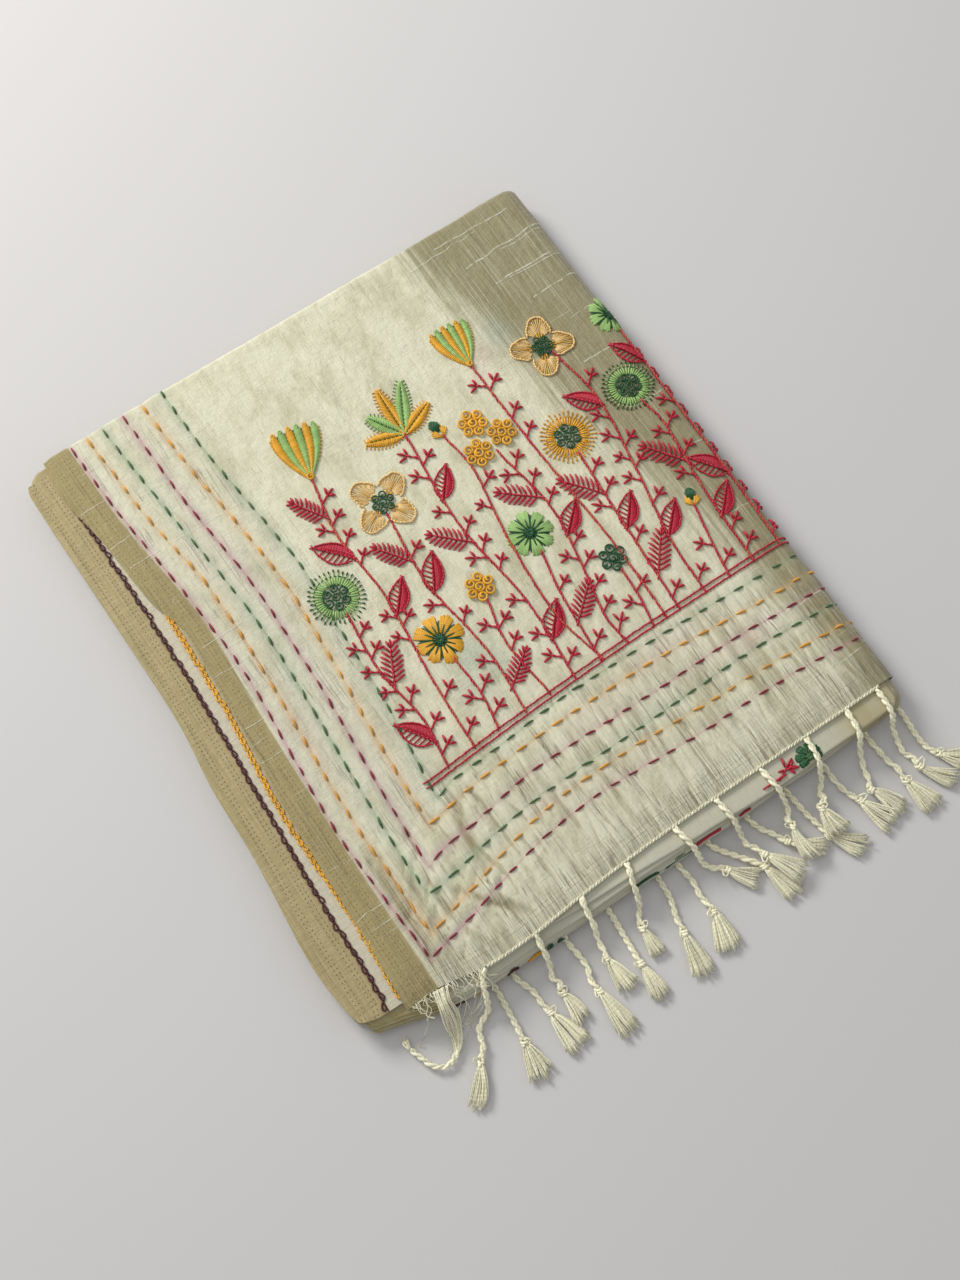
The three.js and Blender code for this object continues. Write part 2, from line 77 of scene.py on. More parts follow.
FACE_LEFT = [
    (-166, -145), (-120, -143), (-61, -140.6), (-11, -136), (30, -133.5),
    (51, -132.7), (71, -138.5), (113, -142), (147, -146.8), (168, -144.6),
]
FACE_END = [
    (-146, -165.5), (-128, -165), (-104, -169), (-75, -169), (-47, -166.6),
    (0, -164), (60, -163.6), (146, -163.3),
]
SECOND_LEFT = [
    (-160, -167), (-154, -169), (-130, -170.7), (-66, -165.5), (-25, -164),
    (13, -160), (80, -159.5), (155, -159.5), (160, -158),
]
SECOND_END = [(-171, -152), (-166, -158), (-155, -161), (-78, -161)]

# Creases: the two ends of each, its half width and its height
CREASES = [
    (-78, -160, -80, -104, 3.4, 0.8),
    (-68, -158, -66, -92, 3.0, 0.7),
    (-57, -163, -57, -98, 3.6, 1.0),
    (-45, -160, -46, -88, 3.0, 0.7),
    (-33, -158, -32, -96, 3.4, 0.9),
    (-22, -160, -24, -90, 2.8, 0.6),
    (-12, -158, -11, -86, 3.4, 1.0),
    (0, -158, 0, -94, 3.0, 0.7),
    (12, -159, 11, -88, 3.4, 0.9),
    (23, -156, 23, -96, 2.8, 0.7),
    (35, -158, 36, -84, 3.6, 1.1),
    (47, -158, 47, -92, 3.0, 0.8),
    (59, -157, 60, -86, 3.4, 1.0),
    (71, -158, 71, -94, 2.8, 0.7),
    (82, -157, 83, -84, 3.4, 1.1),
    (92, -158, 92, -92, 2.8, 0.8),
    (102, -156, 103, -86, 3.2, 1.0),
    (112, -158, 112, -90, 2.8, 0.8),
    (122, -157, 123, -84, 3.2, 1.0),
    (-118, -150, -84, -132, 5.0, 1.2),
    (-126, -60, -118, 40, 4.0, 0.6),
    (-104, -110, -96, -10, 4.2, 0.7),
    (-106, 40, -104, 150, 4.0, 0.5),
    (-84, -96, -78, 20, 4.0, 0.6),
]


def curve(table, at):
    """A smooth value through a table of (at, value), the same curve as the solids have."""
    a = np.array([row[0] for row in table], float)
    v = np.array([row[1] for row in table], float)
    slope = np.empty_like(v)
    slope[1:-1] = (v[2:] - v[:-2]) / (a[2:] - a[:-2])
    slope[0] = (v[1] - v[0]) / (a[1] - a[0])
    slope[-1] = (v[-1] - v[-2]) / (a[-1] - a[-2])
    at = np.clip(np.asarray(at, float), a[0], a[-1])
    i = np.clip(np.searchsorted(a, at, side="right") - 1, 0, len(a) - 2)
    span = a[i + 1] - a[i]
    t = (at - a[i]) / span
    bend = t * (1 - t) * (1 - t) * slope[i] - t * t * (1 - t) * slope[i + 1]
    return v[i] + (v[i + 1] - v[i]) * t * t * (3 - 2 * t) + span * bend


def ease(start, end, value):
    t = np.clip((np.asarray(value, float) - start) / (end - start), 0, 1)
    return t * t * (3 - 2 * t)


def face_end(s):
    return curve(FACE_END, np.minimum(s, FOLD_X))


def arrays(*values):
    """Numbers and grids of numbers, all spread to one shape."""
    return np.broadcast_arrays(*(np.asarray(v, float) for v in values))


def together(*values):
    """Three grids, or plain numbers, as one grid of places."""
    return np.stack(arrays(*values), -1)


def unit(v):
    return v / np.maximum(np.linalg.norm(v, axis=-1, keepdims=True), 1e-9)


def distances(path):
    """How far along a path each of its points lies."""
    return np.concatenate([[0], np.cumsum(np.linalg.norm(np.diff(path, axis=0), axis=1))])


def between(grid, i, j, p, q):
    """The value of a grid at parts p and q of the way from one place to the next."""
    low = grid[j, i] * (1 - p) + grid[j, i + 1] * p
    high = grid[j + 1, i] * (1 - p) + grid[j + 1, i + 1] * p
    return low * (1 - q) + high * q


def crease_height(x, y, creases):
    height = np.zeros(np.broadcast(x, y).shape)
    for x1, y1, x2, y2, half, rise in creases:
        dx, dy = x2 - x1, y2 - y1
        reach = math.hypot(dx, dy)
        t = ((x - x1) * dx + (y - y1) * dy) / reach**2
        side = ((x - x1) * dy - (y - y1) * dx) / reach
        fade = np.where((t > 0) & (t < 1), np.sin(np.pi * np.clip(t, 0, 1)) ** 0.6, 0)
        height = height + rise * fade * np.exp(-((side / half) ** 2))
    return height


def slope(name, value):
    start, end, rise = SLOPES[name]
    return rise * ease(start, end, value)


def face_base(x, y):
    return TOP + slope("fold", x) + slope("back", y) + slope("left", x) + slope("end", y)


def second_top(x, y):
    start, end, depth = SECOND_DROOP
    return face_base(x, y) - WALL - SEAM - SLACK / 2 - depth * ease(start, end, x)


def stack_top(x, y):
    under = (SECOND_WALL + SEAM + SLACK) * ease(*SECOND_RAMP, x)
    return second_top(x, y) - SLACK - under


# Rows of running stitches, from the outermost in: colour and where each runs

SIDE_ROWS = [
    ("crimson", [(-151, -122.7), (-138, -123.7), (-105, -125.7), (-75, -126.3), (-32, -123.3),
                 (12, -120), (58, -121.7), (125, -127.7), (168, -129.2)]),
    ("orange", [(-140, -116), (-105, -116.7), (-82, -117), (-48, -115.7), (-12, -113.3),
                (35, -111), (68, -111), (85, -113.3), (118, -117.3), (148, -118.7), (168, -119.8)]),
    ("leaf", [(-128, -106.7), (-105, -107.3), (-58, -105), (-5, -101.7), (18, -100.7),
              (45, -101), (75, -103.3), (102, -106), (132, -108.3), (168, -110.8)]),
    ("crimson", [(-116, -99.3), (-75, -97.7), (-48, -95.7), (-15, -93.3), (12, -92.7),
                 (35, -92), (58, -92.3), (82, -94.3), (112, -96.7), (168, -98.3)]),
    ("orange", [(-98, -87.7), (-62, -86), (-38, -84.3), (-12, -81.7), (12, -80),
                (35, -78.3), (55, -79), (75, -80.3), (98, -82.3), (125, -85), (168, -87)]),
    ("leaf", [(-91, -77.3), (-62, -74.3), (-42, -71.7), (-15, -70), (8, -69), (28, -67.7),
              (52, -66.7), (68, -68.3), (88, -70), (112, -72.3), (135, -74), (168, -75)]),
]
END_ROWS = [
    ("crimson", [(-123, -152), (-105, -148.3), (-88, -144.3), (-72, -140), (-55, -136),
                 (-38, -133.3), (-18, -131.7), (2, -131.7), (25, -133.3), (48, -134.3),
                 (98, -135), (122, -136.7), (142, -138.3), (164, -139)]),
    ("orange", [(-116, -143), (-98, -137.7), (-85, -135), (-72, -131), (-58, -127.7),
                (-42, -124.3), (-25, -122.3), (-5, -121.7), (15, -121.7), (42, -123),
                (68, -124.3), (92, -125), (115, -126.7), (142, -128.7), (164, -129.5)]),
    ("leaf", [(-107, -126.7), (-88, -124.3), (-78, -122.3), (-65, -120), (-45, -117.3),
              (-25, -116.3), (22, -115.7), (48, -115), (75, -114.3), (98, -114.3),
              (122, -116), (142, -117), (164, -117.5)]),
    ("crimson", [(-99, -115.8), (-92, -112.7), (-82, -111), (-68, -109.7), (-52, -107),
                 (-35, -104.3), (-12, -104), (42, -104.7), (88, -104.3), (115, -106),
                 (142, -107), (164, -107.3)]),
    ("orange", [(-88, -98.3), (-78, -97), (-68, -95), (-52, -93.3), (-35, -92.3), (-12, -91),
                (8, -91), (32, -91), (55, -91.7), (75, -93), (98, -95), (122, -96.7),
                (142, -97), (164, -97.3)]),
    ("leaf", [(-77, -90), (-68, -86.7), (-58, -86), (-45, -85.3), (-28, -84.3), (-12, -82.7),
              (5, -81.7), (25, -81.7), (48, -82.3), (92, -83.7), (115, -84.7), (142, -85.7),
              (164, -86)]),
]
BASELINE = [(-78, -81.8), (-35, -79), (15, -76.6), (48, -75.6), (115, -75.4), (164, -76)]

BORDER_EDGE = [
    (-168, -127.2), (-85, -127.2), (-10, -125), (51, -122.2), (113, -128.4), (168, -130.2),
]
BAND_EDGE = [(-168, 128), (-80, 120), (0, 104), (80, 88), (150, 72), (168, 70)]
MAROON_ROW = [
    (-161, -154.2), (-153, -151.6), (-98, -150.4), (-74, -149), (-5, -145.7), (53, -143.5),
    (160, -144.2),
]
YELLOW_ROW = [(-161, -145), (-119, -142.6), (-53, -142.7), (4, -137.5), (61, -135.5), (75, -135)]

# Layers folded away inside: how far each fold's edge comes forward, by height

STACK_BOTTOM, CROWN_Z = 1.5, 14.6
STACK_FRONT = [(1.5, -169), (3, -173.4), (4.3, -176.4), (6.6, -177.2), (8.8, -176.6), (11, -176.2),
               (13.4, -175.6)]
STACK_BACK = [(1.5, 164.4), (4, 166.0), (6.4, 166.4), (9, 166.0), (12, 165.6), (14.6, 165)]
CROWN_FRONT = [
    (-162, -156), (-140, -162.5), (-116, -167.2), (-63, -170.2), (-22, -173.4),
    (30, -175.6), (120, -177.2), (142, -176.6),
]
DRAW_BACK = [
    (-162, 11.5), (-150, 8.5), (-135, 4.0), (-122, 1.8), (-100, 0.4), (-80, 0), (120, 0),
    (142, 1.5),
]

# The right fold as an arc length

FOLD_HALF = 8.55
FOLD_TURNS = np.radians(np.linspace(90, -75, 331))
FOLD_STEPS = np.hypot(
    np.diff(FOLD_REACH * np.cos(FOLD_TURNS)), np.diff(FOLD_HALF * np.sin(FOLD_TURNS))
)
FOLD_ARC = np.concatenate([[0], np.cumsum(FOLD_STEPS)])
FOLD_END_S = FOLD_START_X + FOLD_ARC[-1]
FOLD_MIRROR = 2 * (FOLD_START_X + FOLD_ARC[-1] / 2)
STITCH_END_S = FOLD_END_S - 4.5
LIP_Y = BACK_Y - LIP_RADIUS


def row_phase(at, other, rows):
    """Which row a place lies on, counted from the outermost, with parts between rows."""
    places = [curve(points, other) for _, points in rows]
    phase = 1 + np.minimum(0, (at - places[0]) / 9) + np.maximum(0, (at - places[-1]) / 9)
    for low, high in zip(places, places[1:]):
        phase = phase + np.clip((at - low) / (high - low), 0, 1)
    return phase


def running_phase(s, y):
    return np.minimum(row_phase(s, y, SIDE_ROWS), row_phase(y, s, END_ROWS))


# Relief of the top stretch

def small_creases():
    """Short uneven puckers by the running rows, and soft ones among the flowers."""
    r = np.random.default_rng(SEED + 1)
    rows = []

    def upright(x, middle, reach, lean, half, rise):
        rows.append((x - lean, middle - reach / 2, x + lean, middle + reach / 2, half, rise))

    for i in range(118):
        x = -122 + i * 2.4 + r.uniform(-1.3, 1.3)
        middle, reach = r.uniform(-150, -88), r.uniform(10, 40)
        lean = r.normal(0, 1.3)
        rise = r.uniform(0.3, 0.85) * (1 if r.random() < 0.5 else -1)
        upright(x, middle, reach, lean, r.uniform(0.7, 1.2), rise)
    for i in range(90):
        x, row = r.uniform(-112, 150), r.integers(0, 6)
        middle = float(curve(END_ROWS[row][1], x))
        if x < END_ROWS[row][1][0][0]:
            continue
        reach = r.uniform(6, 13)
        rows.append((x, middle - reach / 2, x + r.normal(0, 0.8), middle + reach / 2,
                     r.uniform(0.7, 1.1), r.uniform(0.3, 0.7) * r.choice([-1, 1])))
    for i in range(34):
        x = -118 + i * 7.8 + r.uniform(-3, 3)
        reach = r.uniform(10, 24)
        rows.append((x, FRONT_Y, x + r.normal(0, 1.2), FRONT_Y + reach, r.uniform(0.9, 1.7),
                     r.uniform(0.25, 0.6) * (1 if r.random() < 0.5 else -1)))
    for _ in range(70):
        x, middle, reach = r.uniform(-124, -72), r.uniform(-90, 158), r.uniform(14, 46)
        upright(x, middle, reach, r.normal(0, 1.2), r.uniform(0.9, 1.9),
                r.uniform(0.14, 0.4) * r.choice([-1, 1]))
    for _ in range(90):
        x, middle, reach = r.uniform(-122, -70), r.uniform(-100, 155), r.uniform(5, 13)
        rows.append((x - reach / 2, middle, x + reach / 2, middle + r.normal(0, 2.5),
                     r.uniform(2.0, 2.8), r.uniform(0.15, 0.42) * r.choice([-1, 1])))
    for _ in range(60):
        x, middle, reach = r.uniform(-66, 132), r.uniform(-70, 150), r.uniform(18, 70)
        upright(x, middle, reach, r.normal(0, 2.2), r.uniform(1.0, 3.4),
                r.uniform(0.1, 0.3) * r.choice([-1, 1]))
    for _ in range(44):
        x, y, turn = r.uniform(-124, -66), r.uniform(-156, -96), r.normal(0.9, 0.45)
        reach = r.uniform(7, 24)
        dx, dy = reach / 2 * math.cos(turn), reach / 2 * math.sin(turn)
        rows.append((x - dx, y - dy, x + dx, y + dy, r.uniform(0.75, 1.2),
                     r.uniform(0.2, 0.6) * r.choice([-1, 1])))
    corner = [
        (-124, -146, -96, -118, 1.5, 0.9), (-117, -152, -84, -124, 1.4, -0.6),
        (-106, -156, -72, -134, 1.5, 0.9), (-92, -158, -62, -146, 1.3, -0.6),
        (-120, -128, -104, -104, 1.3, 0.6), (-86, -128, -58, -112, 1.4, 0.5),
        (-70, -150, -44, -134, 1.3, 0.5), (-112, -118, -92, -98, 1.2, -0.5),
        (-119, -104, -119, -148, 2.6, -0.8), (-113, -102, -114, -148, 2.0, 0.9),
        (-97, -130, -74, -158, 1.6, -0.9), (-94, -135, -71, -154, 1.5, 0.7),
        (-73, -100, -78, -127, 2.6, -0.6), (-68, -100, -72, -126, 1.7, 0.6),
    ]
    return rows + corner


RELIEF_STEP = 0.75
RELIEF_S = np.arange(-150, 166, RELIEF_STEP)
RELIEF_Y = np.arange(-174, 174, RELIEF_STEP)


def soft_noise(s, y, cell_s, cell_y, seed):
    """Smooth noise from -1 to 1 with cells of a given size."""
    u, v = (s - s.min()) / cell_s, (y - y.min()) / cell_y
    i, j = np.floor(u).astype(int), np.floor(v).astype(int)
    grid = np.random.default_rng(seed).uniform(-1, 1, (j.max() + 2, i.max() + 2))
    p, q = u - i, v - j
    p, q = p * p * (3 - 2 * p), q * q * (3 - 2 * q)
    return between(grid, i, j, p, q)


def make_relief():
    s, y = np.meshgrid(RELIEF_S, RELIEF_Y)
    rise = 0.8 * crease_height(s, y, CREASES) + crease_height(s, y, small_creases())
    rise = rise + 0.16 * np.sin(s / 17 + 0.6 * np.sin(y / 31)) * np.sin(y / 23 + 0.8)
    rise = rise + 0.17 * soft_noise(s, y, 9, 15, 11) + 0.1 * soft_noise(s, y, 4.2, 9, 12)
    rise = rise + 0.06 * soft_noise(s, y, 2.2, 7, 13)
    phase = running_phase(s, y)
    near = phase - np.round(phase)
    on_row = np.exp(-((near / 0.14) ** 2)) * ((phase > 0.5) & (phase < 6.5))
    rise = rise - 0.42 * on_row
    pinch = np.exp(-(((y - curve(BASELINE, s)) / 2.6) ** 2)) * ease(-80, -76, s)
    return rise - 0.3 * pinch


RELIEF = make_relief()


def relief(s, y):
    u = np.clip((s - RELIEF_S[0]) / RELIEF_STEP, 0, len(RELIEF_S) - 1.001)
    v = np.clip((y - RELIEF_Y[0]) / RELIEF_STEP, 0, len(RELIEF_Y) - 1.001)
    i, j = u.astype(int), v.astype(int)
    return between(RELIEF, i, j, u - i, v - j)


def lay(s, y, lift=0.0):
    """The place of (s, y) on the top stretch, lifted off it."""
    s, y, lift = arrays(s, y, lift)
    flat = s <= FOLD_START_X
    angle = np.interp(s - FOLD_START_X, FOLD_ARC, FOLD_TURNS)
    level = np.minimum(y, LIP_Y)
    half = face_base(FOLD_START_X, level) / 2
    x = np.where(flat, s, FOLD_START_X + FOLD_REACH * np.cos(angle))
    z = np.where(flat, face_base(s, level), half + half * np.sin(angle))
    nx = np.where(flat, 0, np.cos(angle) / FOLD_REACH)
    nz = np.where(flat, 1, np.sin(angle) / half)
    size = np.hypot(nx, nz)
    nx, nz = nx / size, nz / size
    sag_end = 0.95 * (1 - ease(0, 5, y - face_end(s)))
    sag_left = 0.85 * (1 - ease(0, 6, s - curve(FACE_LEFT, level)))
    rise = lift + relief(s, y) - np.maximum(sag_end * flat, sag_left)
    turn = np.clip((y - LIP_Y) / LIP_RADIUS, 0, np.pi / 2)
    out = (LIP_RADIUS + rise) * np.cos(turn) - LIP_RADIUS
    return together(x + nx * out, level + (LIP_RADIUS + rise) * np.sin(turn), z + nz * out)


def lay_second(x, y, lift=0.0):
    """The place of (x, y) on the second stretch, whose wrong side shows at the left."""
    x, y, lift = arrays(x, y, lift)
    rise = 0.14 * np.sin(y / 21 + x / 9) + 0.1 * np.sin(y / 8.5 + 2 * np.sin(x / 7))
    seam = x - curve(SECOND_LEFT, y) - 4.2
    rise = rise - 0.28 * np.exp(-((seam / 0.7) ** 2)) + 0.12 * np.exp(-(((seam + 1.6) / 1.2) ** 2))
    for row in (MAROON_ROW, YELLOW_ROW):
        rise = rise - 0.3 * np.exp(-(((x - curve(row, y)) / 1.6) ** 2))
    return together(x, y, second_top(x, y) - 0.15 + rise + lift)


def lay_under(s, y, lift=0.0):
    """The place of (s, y) on the fair side of the under half, past the fold."""
    s, y, lift = arrays(s, y, lift)
    x = FOLD_MIRROR - s
    wave = 0.1 * np.sin(x / 13 + np.sin(y / 17)) * np.sin(y / 19)
    return together(x, y, 0.58 + wave - 0.3 * lift)


def normals_of(place, s, y):
    step = 0.3
    a = place(s + step, y) - place(s - step, y)
    b = place(s, y + step) - place(s, y - step)
    return unit(np.cross(a, b))


# Meshes

def build_mesh(name, points, quads, tris=None, values=None, sharp=None):
    """A mesh object from arrays, with named vector values on its points."""
    tris = np.zeros((0, 3), int) if tris is None else tris
    loops = np.concatenate([quads.ravel(), tris.ravel()])
    starts = np.concatenate([np.arange(len(quads)) * 4, quads.size + np.arange(len(tris)) * 3])
    mesh = bpy.data.meshes.new(name)
    mesh.vertices.add(len(points))
    mesh.vertices.foreach_set("co", (points * MM).astype(np.float32).ravel())
    mesh.loops.add(len(loops))
    mesh.loops.foreach_set("vertex_index", loops.astype(np.int32))
    mesh.polygons.add(len(starts))
    mesh.polygons.foreach_set("loop_start", starts.astype(np.int32))
    mesh.update(calc_edges=True)
    mesh.polygons.foreach_set("use_smooth", np.ones(len(starts), bool))
    for key, value in (values or {}).items():
        layer = mesh.attributes.new(key, "FLOAT_VECTOR", "POINT")
        layer.data.foreach_set("vector", value.astype(np.float32).ravel())
    if sharp is not None:
        mesh.set_sharp_from_angle(angle=math.radians(sharp))
    obj = bpy.data.objects.new(name, mesh)
    bpy.context.scene.collection.objects.link(obj)
    return obj


def shell(name, outer, inner, values):
    """A closed thin sheet between two grids of points; values are given on one grid."""
    rows, columns = outer.shape[:2]
    index = np.arange(rows * columns).reshape(rows, columns)
    a, b = index[:-1, :-1], index[:-1, 1:]
    c, d = index[1:, 1:], index[1:, :-1]
    top = np.stack([a, b, c, d], -1).reshape(-1, 4)
    shift = rows * columns
    under = top[:, ::-1] + shift
    rim = np.concatenate([index[0, :-1], index[:-1, -1], index[-1, :0:-1], index[:0:-1, 0]])
    after = np.roll(rim, -1)
    side = np.stack([rim, rim + shift, after + shift, after], -1)
    points = np.concatenate([outer.reshape(-1, 3), inner.reshape(-1, 3)])
    doubled = {key: np.concatenate([v.reshape(-1, 3)] * 2) for key, v in values.items()}
    return build_mesh(name, points, np.concatenate([top, under, side]), None, doubled, 60)


def tubes(paths, ups, radii, sides, squash=1.0):
    """Closed tubes along many paths of the same count: points, quads, triangles, places."""
    count, stations = paths.shape[:2]
    along = unit(np.gradient(paths, axis=1))
    side = unit(np.cross(along, ups))
    up = np.cross(side, along)
    turn = 2 * np.pi * np.arange(sides) / sides
    wide = np.cos(turn)[None, None, :, None] * side[:, :, None]
    tall = squash * np.sin(turn)[None, None, :, None] * up[:, :, None]
    points = paths[:, :, None] + radii[:, :, None, None] * (wide + tall)
    index = np.arange(count * stations * sides).reshape(count, stations, sides)
    a, b = index[:, :-1], index[:, 1:]
    quads = np.stack([a, b, np.roll(b, -1, 2), np.roll(a, -1, 2)], -1).reshape(-1, 4)
    caps = []
    for i in range(1, sides - 1):
        caps.append(np.stack([index[:, 0, 0], index[:, 0, i], index[:, 0, i + 1]], -1))
        caps.append(np.stack([index[:, -1, 0], index[:, -1, i + 1], index[:, -1, i]], -1))
    steps = np.linalg.norm(np.diff(paths, axis=1), axis=-1)
    reach = np.concatenate([np.zeros((count, 1)), np.cumsum(steps, axis=1)], axis=1)
    marks = np.zeros(points.shape)
    marks[..., 0] = reach[:, :, None]
    marks[..., 1] = (np.arange(sides) / sides)[None, None]
    return points.reshape(-1, 3), quads, np.concatenate(caps), marks.reshape(-1, 3)


class Yarn:
    """Tubes of one colour, gathered into one mesh."""

    def __init__(self, name):
        self.name, self.parts, self.count = name, [], 0

    def add(self, paths, ups, radii, sides, squash=1.0, tones=None):
        points, quads, tris, marks = tubes(paths, ups, radii, sides, squash)
        tones = rng.uniform(0.84, 1.1, len(paths)) if tones is None else tones
        marks[:, 2] = np.repeat(tones, len(points) // len(paths))
        self.parts.append((points, quads + self.count, tris + self.count, marks))
        self.count += len(points)

    def build(self):
        points, quads, tris, marks = (np.concatenate(part) for part in zip(*self.parts))
        return build_mesh(self.name, points, quads, tris, {"yarn": marks})


# Stitches

# Shares of a stitch's length, and its width and rise there
SPINDLE_AT = np.array([0, 0.12, 0.36, 0.64, 0.88, 1.0])
SPINDLE_WIDE = np.array([0.22, 0.66, 1.0, 1.0, 0.66, 0.22])
SPINDLE_RISE = np.array([-0.35, 0.35, 1.0, 1.0, 0.35, -0.35])
FLOSS_AT = np.array([0, 0.1, 0.5, 0.9, 1.0])
FLOSS_WIDE = np.array([0.5, 0.94, 1.0, 0.94, 0.5])
FLOSS_RISE = np.array([-0.45, 0.6, 1.05, 0.6, -0.45])


def columns(rows):
    return (column[:, None] for column in np.array(rows).T)


class Embroidery:
    """Stitches on one surface, kept as rows of plain numbers for each colour."""

    def __init__(self, place, within=lambda s, y: True):
        self.place, self.within = place, within
        self.spindles, self.floss, self.coils, self.links = {}, {}, {}, {}

    def keep(self, kept, colour, s1, y1, s2, y2, width, height, base=0.0, bow=0.0):
        if self.within(s1, y1) and self.within(s2, y2):
            kept.setdefault(colour, []).append((s1, y1, s2, y2, width, height, base, bow))

    def spindle(self, colour, *stitch):
        """A stitch that narrows to its ends: its two ends, width, height, base and bow."""
        self.keep(self.spindles, colour, *stitch)

    def thread(self, colour, *stitch):
        """A blunter stitch of one even thread, told in the same way."""
        self.keep(self.floss, colour, *stitch)

    def coil(self, colour, s, y, radius, thick, base=0.0):
        if self.within(s + radius, y - radius):
            self.coils.setdefault(colour, []).append((s, y, radius, thick, base))

    def link(self, colour, s, y, heading, reach, width, thick):
        self.links.setdefault(colour, []).append((s, y, heading, reach, width, thick))

    def laid(self, s, y, lift, wide):
        """Paths, ups and radii of the tubes that stitches become."""
        wide = np.broadcast_to(wide, s.shape)
        return self.place(s, y, lift), normals_of(self.place, s, y), wide

    def straight(self, rows, at, wide, rises):
        s1, y1, s2, y2, width, height, base, bow = columns(rows)
        ds, dy = s2 - s1, y2 - y1
        reach = np.maximum(np.hypot(ds, dy), 1e-6)
        aside = bow * np.sin(np.pi * at)
        s = s1 + ds * at + dy / reach * aside
        y = y1 + dy * at - ds / reach * aside
        lift = base + height * rises
        return self.laid(s, y, lift, width / 2 * wide)

    def curled(self, rows):
        """A ring of thread that closes on itself and ends as a dot in its middle."""
        s0, y0, radius, thick, base = columns(rows)
        t = np.linspace(0, 1, 19)[None]
        start = rng.uniform(0, 2 * np.pi, s0.shape)
        angle = start + 2 * np.pi * 1.62 * t
        inward = np.clip((t - 0.62) / 0.3, 0, 1)
        reach = (radius - thick / 2) * (1 - inward * inward * (3 - 2 * inward))
        s, y = s0 + reach * np.cos(angle), y0 + reach * np.sin(angle)
        lift = base + thick * (0.35 + 0.5 * np.sin(np.pi * t) + 0.25 * inward)
        return self.laid(s, y, lift, thick / 2 * (1 - 0.3 * (t < 0.02)))

    def looped(self, rows):
        s0, y0, heading, reach, width, thick = columns(rows)
        t = np.linspace(0.02, 0.98, 15)[None]
        angle = 2 * np.pi * t
        u = -width / 2 * np.sin(angle) * (0.45 + 0.55 * np.sin(np.pi * t)) * 1.25
        v = reach * (0.5 - 0.5 * np.cos(angle)) ** 0.7
        c, d = np.cos(heading), np.sin(heading)
        s, y = s0 + u * c + v * d, y0 - u * d + v * c
        lift = thick * (0.2 + 0.45 * np.sin(np.pi * t))
        return self.laid(s, y, lift, thick / 2)

    def stitch_into(self, yarns):
        for colour, rows in self.spindles.items():
            yarns[colour].add(*self.straight(rows, SPINDLE_AT, SPINDLE_WIDE, SPINDLE_RISE), 5, 0.85)
        for colour, rows in self.floss.items():
            yarns[colour].add(*self.straight(rows, FLOSS_AT, FLOSS_WIDE, FLOSS_RISE), 5, 0.8)
        for colour, rows in self.coils.items():
            yarns[colour].add(*self.curled(rows), 5)
        for colour, rows in self.links.items():
            yarns[colour].add(*self.looped(rows), 6)


class Turned:
    """A small frame on the cloth: u to the right and v ahead, turned clockwise by an angle."""

    def __init__(self, work, s, y, degrees, size=1.0):
        self.work, self.s, self.y, self.size = work, s, y, size
        self.angle = math.radians(degrees)
        self.c, self.d = math.cos(self.angle) * size, math.sin(self.angle) * size

    def at(self, u, v):
        return self.s + u * self.c + v * self.d, self.y - u * self.d + v * self.c

    def spindle(self, colour, u1, v1, u2, v2, *look):
        self.work.spindle(colour, *self.at(u1, v1), *self.at(u2, v2), *look)

    def thread(self, colour, u1, v1, u2, v2, *look):
        self.work.thread(colour, *self.at(u1, v1), *self.at(u2, v2), *look)

    def ray(self, colour, angle, near, far, *look):
        """A thread that points away from the middle, between two distances."""
        s, c = math.sin(angle), math.cos(angle)
        self.thread(colour, near * s, near * c, far * s, far * c, *look)

    def coil(self, colour, u, v, radius, thick, base=0.0):
        self.work.coil(colour, *self.at(u, v), radius * self.size, thick, base)

    def inner(self, u, v, degrees, size=1.0):
        s, y = self.at(u, v)
        return Turned(self.work, s, y, math.degrees(self.angle) + degrees, self.size * size)


def smooth_path(points, step):
    """A smooth path through a few points, at even steps."""
    p = np.array(points, float)
    p = np.concatenate([[2 * p[0] - p[1]], p, [2 * p[-1] - p[-2]]])
    made = []
    for a, b, c, d in zip(p, p[1:], p[2:], p[3:]):
        t = np.linspace(0, 1, 24, endpoint=False)[:, None]
        made.append(0.5 * (2 * b + (c - a) * t + (2 * a - 5 * b + 4 * c - d) * t**2
                           + (3 * b - a - 3 * c + d) * t**3))
    line = np.concatenate(made + [p[-2:-1]])
    reach = distances(line)
    at = np.linspace(0, reach[-1], max(2, round(reach[-1] / step) + 1))
    return np.stack([np.interp(at, reach, line[:, k]) for k in range(line.shape[1])], -1)


def rope(work, colour, path, width=1.15, reach=3.9, height=0.85, base=0.0, keep=None):
    """Overlapping slanted stitches along a path, as stem stitch lies; keep picks some of them."""
    keep = np.ones(len(path), bool) if keep is None else keep
    r = rng.normal(0, 0.12, (len(path), 4))
    steps = unit(np.gradient(path, axis=0))
    aside = np.stack([steps[:, 1], -steps[:, 0]], -1)
    for p, d, q, jitter in zip(path[keep], steps[keep], aside[keep], r[keep]):
        a = p - d * reach / 2 - q * (width * 0.3 + jitter[0]) + d * jitter[2]
        b = p + d * reach / 2 + q * (width * 0.3 + jitter[1]) + d * jitter[3]
        work.spindle(colour, *a, *b, width, height, base + 0.1)


def dashes(work, colour, path, fat=1.0, first=0.0):
    """Running stitches along a path; first is the bare length before them."""
    reach = distances(path)
    at = first
    while at < reach[-1] - 3:
        length = rng.uniform(5.0, 6.9)
        ends = [at, min(at + length, reach[-1])]
        (s1, s2), (y1, y2) = (np.interp(ends, reach, path[:, k]) for k in (0, 1))
        ds, dy = (s2 - s1) / length, (y2 - y1) / length
        tilt = rng.normal(0.3, 0.16)
        work.spindle(colour, s1 - dy * tilt, y1 + ds * tilt, s2 + dy * tilt, y2 - ds * tilt,
                     rng.uniform(1.05, 1.35) * fat, 0.6 * fat, 0.1, rng.normal(0, 0.15))
        at += rng.normal(10.8, 0.5)


